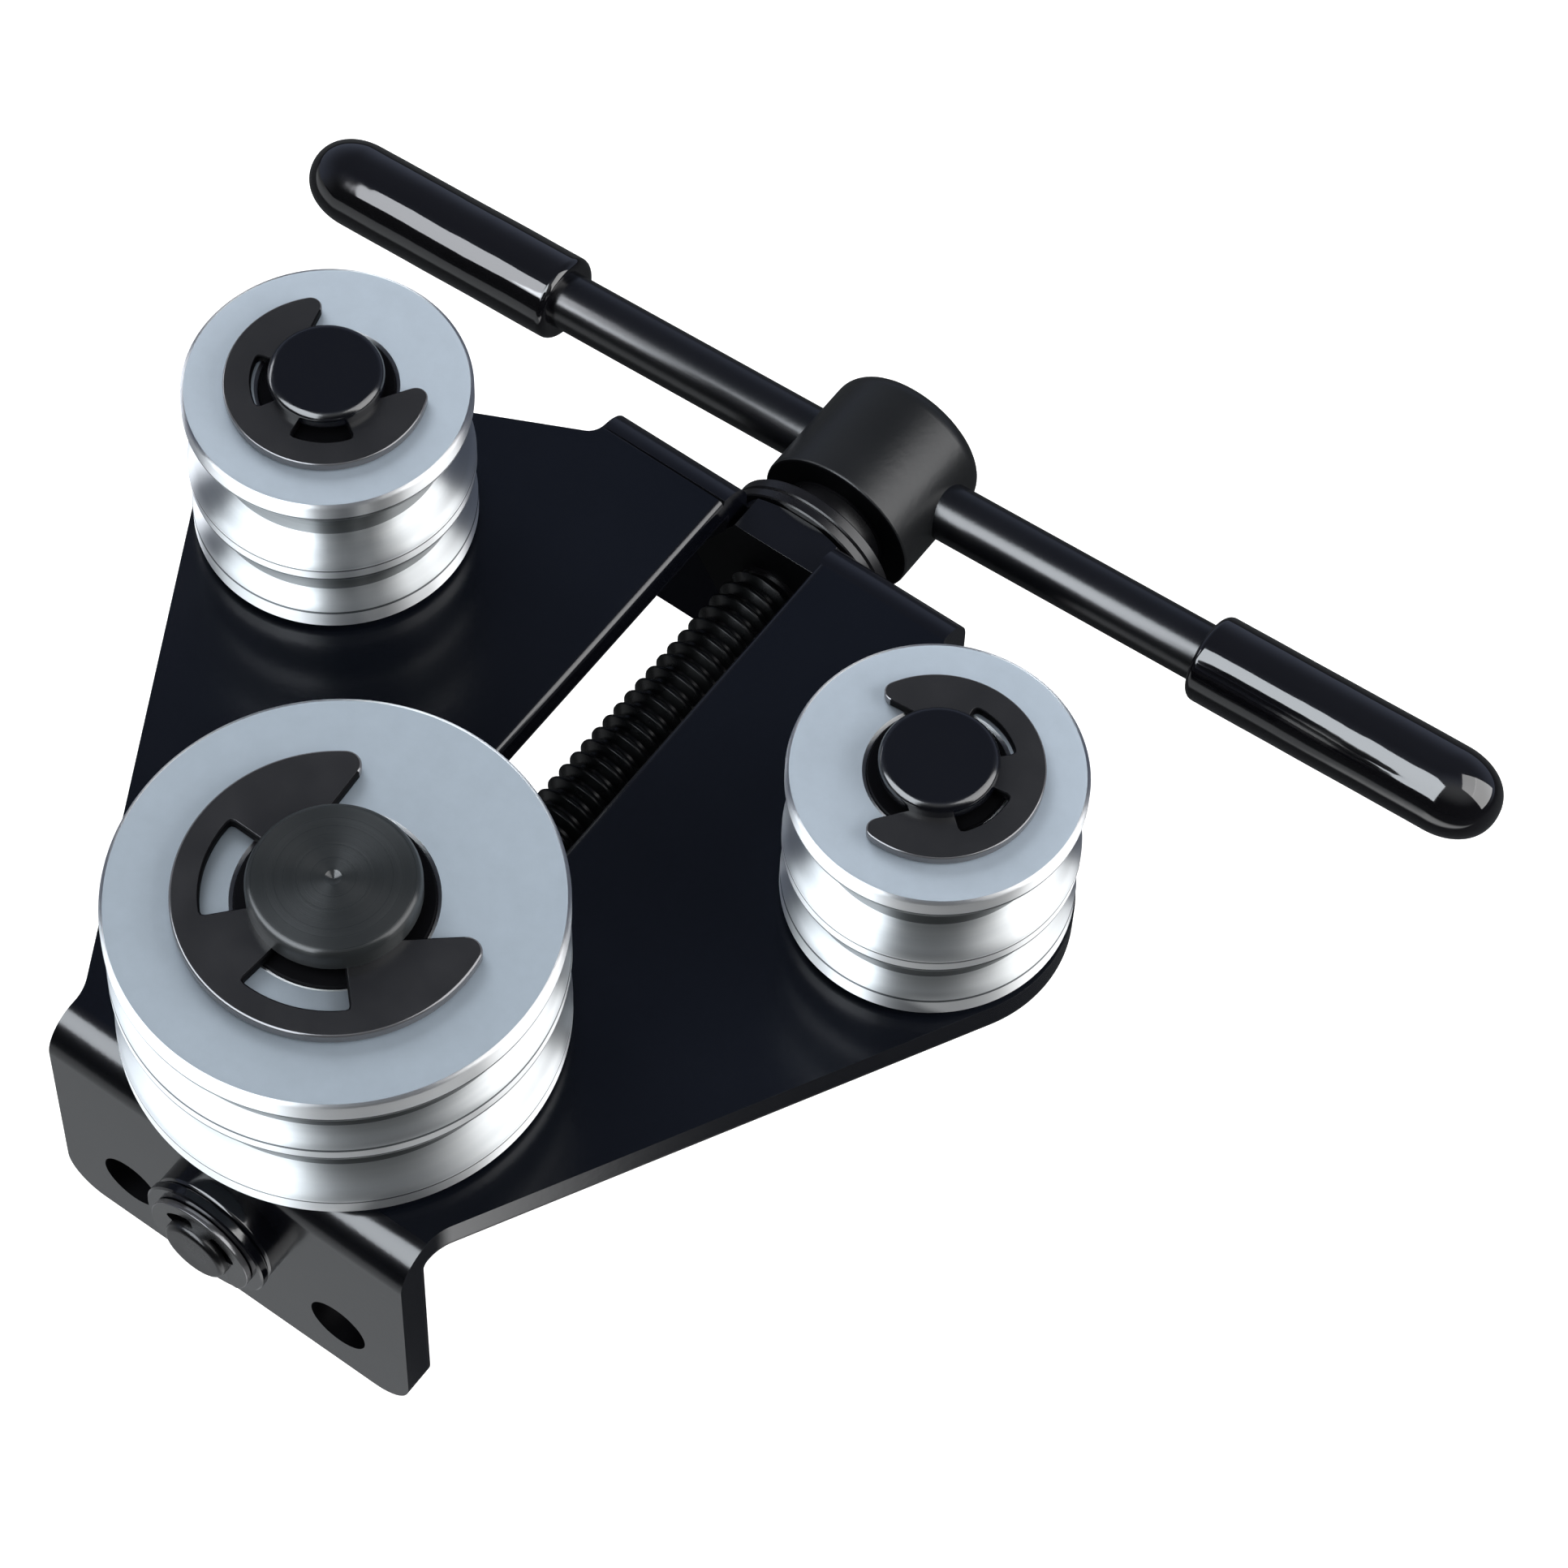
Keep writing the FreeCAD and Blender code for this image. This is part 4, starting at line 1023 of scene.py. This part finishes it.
def studio():
    """White to the camera, even to diffuse rays, and in mirrors a dim room that is brighter
    low on the far side and overhead on the camera's side."""
    world = bpy.data.worlds.new("studio")
    bpy.context.scene.world = world
    tree, out = empty_tree(world, "OutputWorld")
    path = node(tree, "LightPath")
    direction = node(tree, "TexCoord").outputs["Generated"]
    height = node(tree, "SeparateXYZ", Vector=direction).outputs["Z"]
    side = ramp(tree, along(tree, direction, ROOM_FRONT), -0.2, 0.5, smooth=True)
    far = ramp(tree, height, 0.1, 0.75, 0.24, 0.08, smooth=True)
    near = ramp(tree, height, 0.4, 1.0, 0.02, 0.46, smooth=True)
    level = node(tree, "Mix", _0=side, _2=far, _3=near).outputs[0]
    tint = blend_colour(tree, side, (0.80, 0.92, 1.25), (0.97, 1.0, 1.02))

    even = node(tree, "Background", Color=(1, 1, 1, 1), Strength=0.40).outputs[0]
    room = node(tree, "Background", Color=tint, Strength=level).outputs[0]
    white = node(tree, "Background", Color=(1, 1, 1, 1), Strength=1.0).outputs[0]
    unseen = mix_shader(tree, path.outputs["Is Glossy Ray"], even, room)
    seen = mix_shader(tree, path.outputs["Is Camera Ray"], unseen, white)
    tree.links.new(seen, out.inputs[0])


def softbox(name, centre, across, upward, size, radiance, colour=(1, 1, 1), rays="all"):
    """A rectangular lamp. Across and upward are its sides' directions, it shines away from
    their cross product, and rays may be mirror or matt."""
    light = bpy.data.lights.new(name, "AREA")
    light.shape = "RECTANGLE"
    light.size, light.size_y = size[0] * MM, size[1] * MM
    light.energy = radiance * math.pi * light.size * light.size_y
    light.color = colour
    made = link(name, light)
    x, y = Vector(across).normalized(), Vector(upward).normalized()
    turn = Matrix((x, y, x.cross(y))).transposed().to_4x4()
    made.matrix_world = Matrix.Translation(Vector(centre) * MM) @ turn
    made.visible_camera = False
    made.visible_diffuse = rays != "mirror"
    made.visible_glossy = rays != "matt"


def lamps():
    softbox("front_box", centre=(-54.5, -97.5, 350), across=(0.847, -0.532, 0),
            upward=(0, 0, 1), size=(273, 480), radiance=6.3, colour=(0.89, 0.945, 1.0),
            rays="mirror")
    softbox("left_box", centre=(-129, 79, 81), across=(1, 0, 0.08),
            upward=(-0.058, 0.69, 0.73), size=(48, 71), radiance=5.4,
            colour=(0.92, 0.945, 1.0), rays="mirror")
    leaning = {"across": (-0.4067, 0.9135, 0), "upward": (-0.3716, -0.1655, 0.9135)}
    softbox("side_box", centre=(459, 279, 264), **leaning, size=(470, 380), radiance=3.5)
    softbox("side_box_high", centre=(322, 218, 602), **leaning, size=(470, 370), radiance=3.0,
            rays="mirror")
    softbox("back_box", centre=(-670, 476, 476), across=(-0.514, -0.858, 0),
            upward=(0.4255, -0.2553, 0.868), size=(600, 600), radiance=5.7, rays="matt")


PHOTO_PIXELS = 1932
PHOTO_FOCAL_PIXELS = 6577.46
PHOTO_CENTRE_PIXELS = (957.82, 963.12)
CAMERA_AZIMUTH, CAMERA_ELEVATION, CAMERA_ROLL = 33.60, 58.88, 2.91
CAMERA_TARGET = (24.85, 89.76, TOP)
CAMERA_DISTANCE = 730.21


def camera():
    """The camera that was solved from the photograph."""
    az, el = math.radians(CAMERA_AZIMUTH), math.radians(CAMERA_ELEVATION)
    roll = math.radians(CAMERA_ROLL)
    way = Vector((math.sin(az) * math.cos(el), -math.cos(az) * math.cos(el), math.sin(el)))
    right = Vector((math.cos(az), math.sin(az), 0))
    up = way.cross(right)
    across = right * math.cos(roll) + up * math.sin(roll)
    upward = up * math.cos(roll) - right * math.sin(roll)
    data = bpy.data.cameras.new("camera")
    data.sensor_fit = "HORIZONTAL"
    data.sensor_width = 36.0
    data.lens = PHOTO_FOCAL_PIXELS / PHOTO_PIXELS * data.sensor_width
    middle_pixel = PHOTO_PIXELS / 2
    data.shift_x = (middle_pixel - PHOTO_CENTRE_PIXELS[0]) / PHOTO_PIXELS
    data.shift_y = (PHOTO_CENTRE_PIXELS[1] - middle_pixel) / PHOTO_PIXELS
    data.clip_end = 20
    made = link("camera", data)
    turn = Matrix((across, upward, way)).transposed().to_4x4()
    place = Vector(CAMERA_TARGET) * MM + way * CAMERA_DISTANCE * MM
    made.matrix_world = Matrix.Translation(place) @ turn
    bpy.context.scene.camera = made


# The whole object

base_plate()
for side, sign in SIDES:
    roller(f"{side}_roller", diameter=40.0, bore=SMALL_BORE, wide_up=True,
           x=PIN_X * sign, y=PIN_Y, face=SMALL_FACE)
roller("large_roller", diameter=60.6, bore=LARGE_BORE, wide_up=False,
       x=0, y=AXLE_Y, face=LARGE_FACE)
for side, sign in SIDES:
    small_pin(side, sign)
axle()
roller_washers()
clips()
lead_screw()
front_bush()
front_washer()
rear_bush()
thrust_washers()
hub()
bar()
grip("right", Matrix(), seed=11.0)
grip("left", Matrix.Rotation(math.radians(180), 4, "Y"), seed=3.0)
carriage_nut()

floor()
studio()
lamps()
camera()
bpy.context.scene.view_settings.view_transform = "Standard"
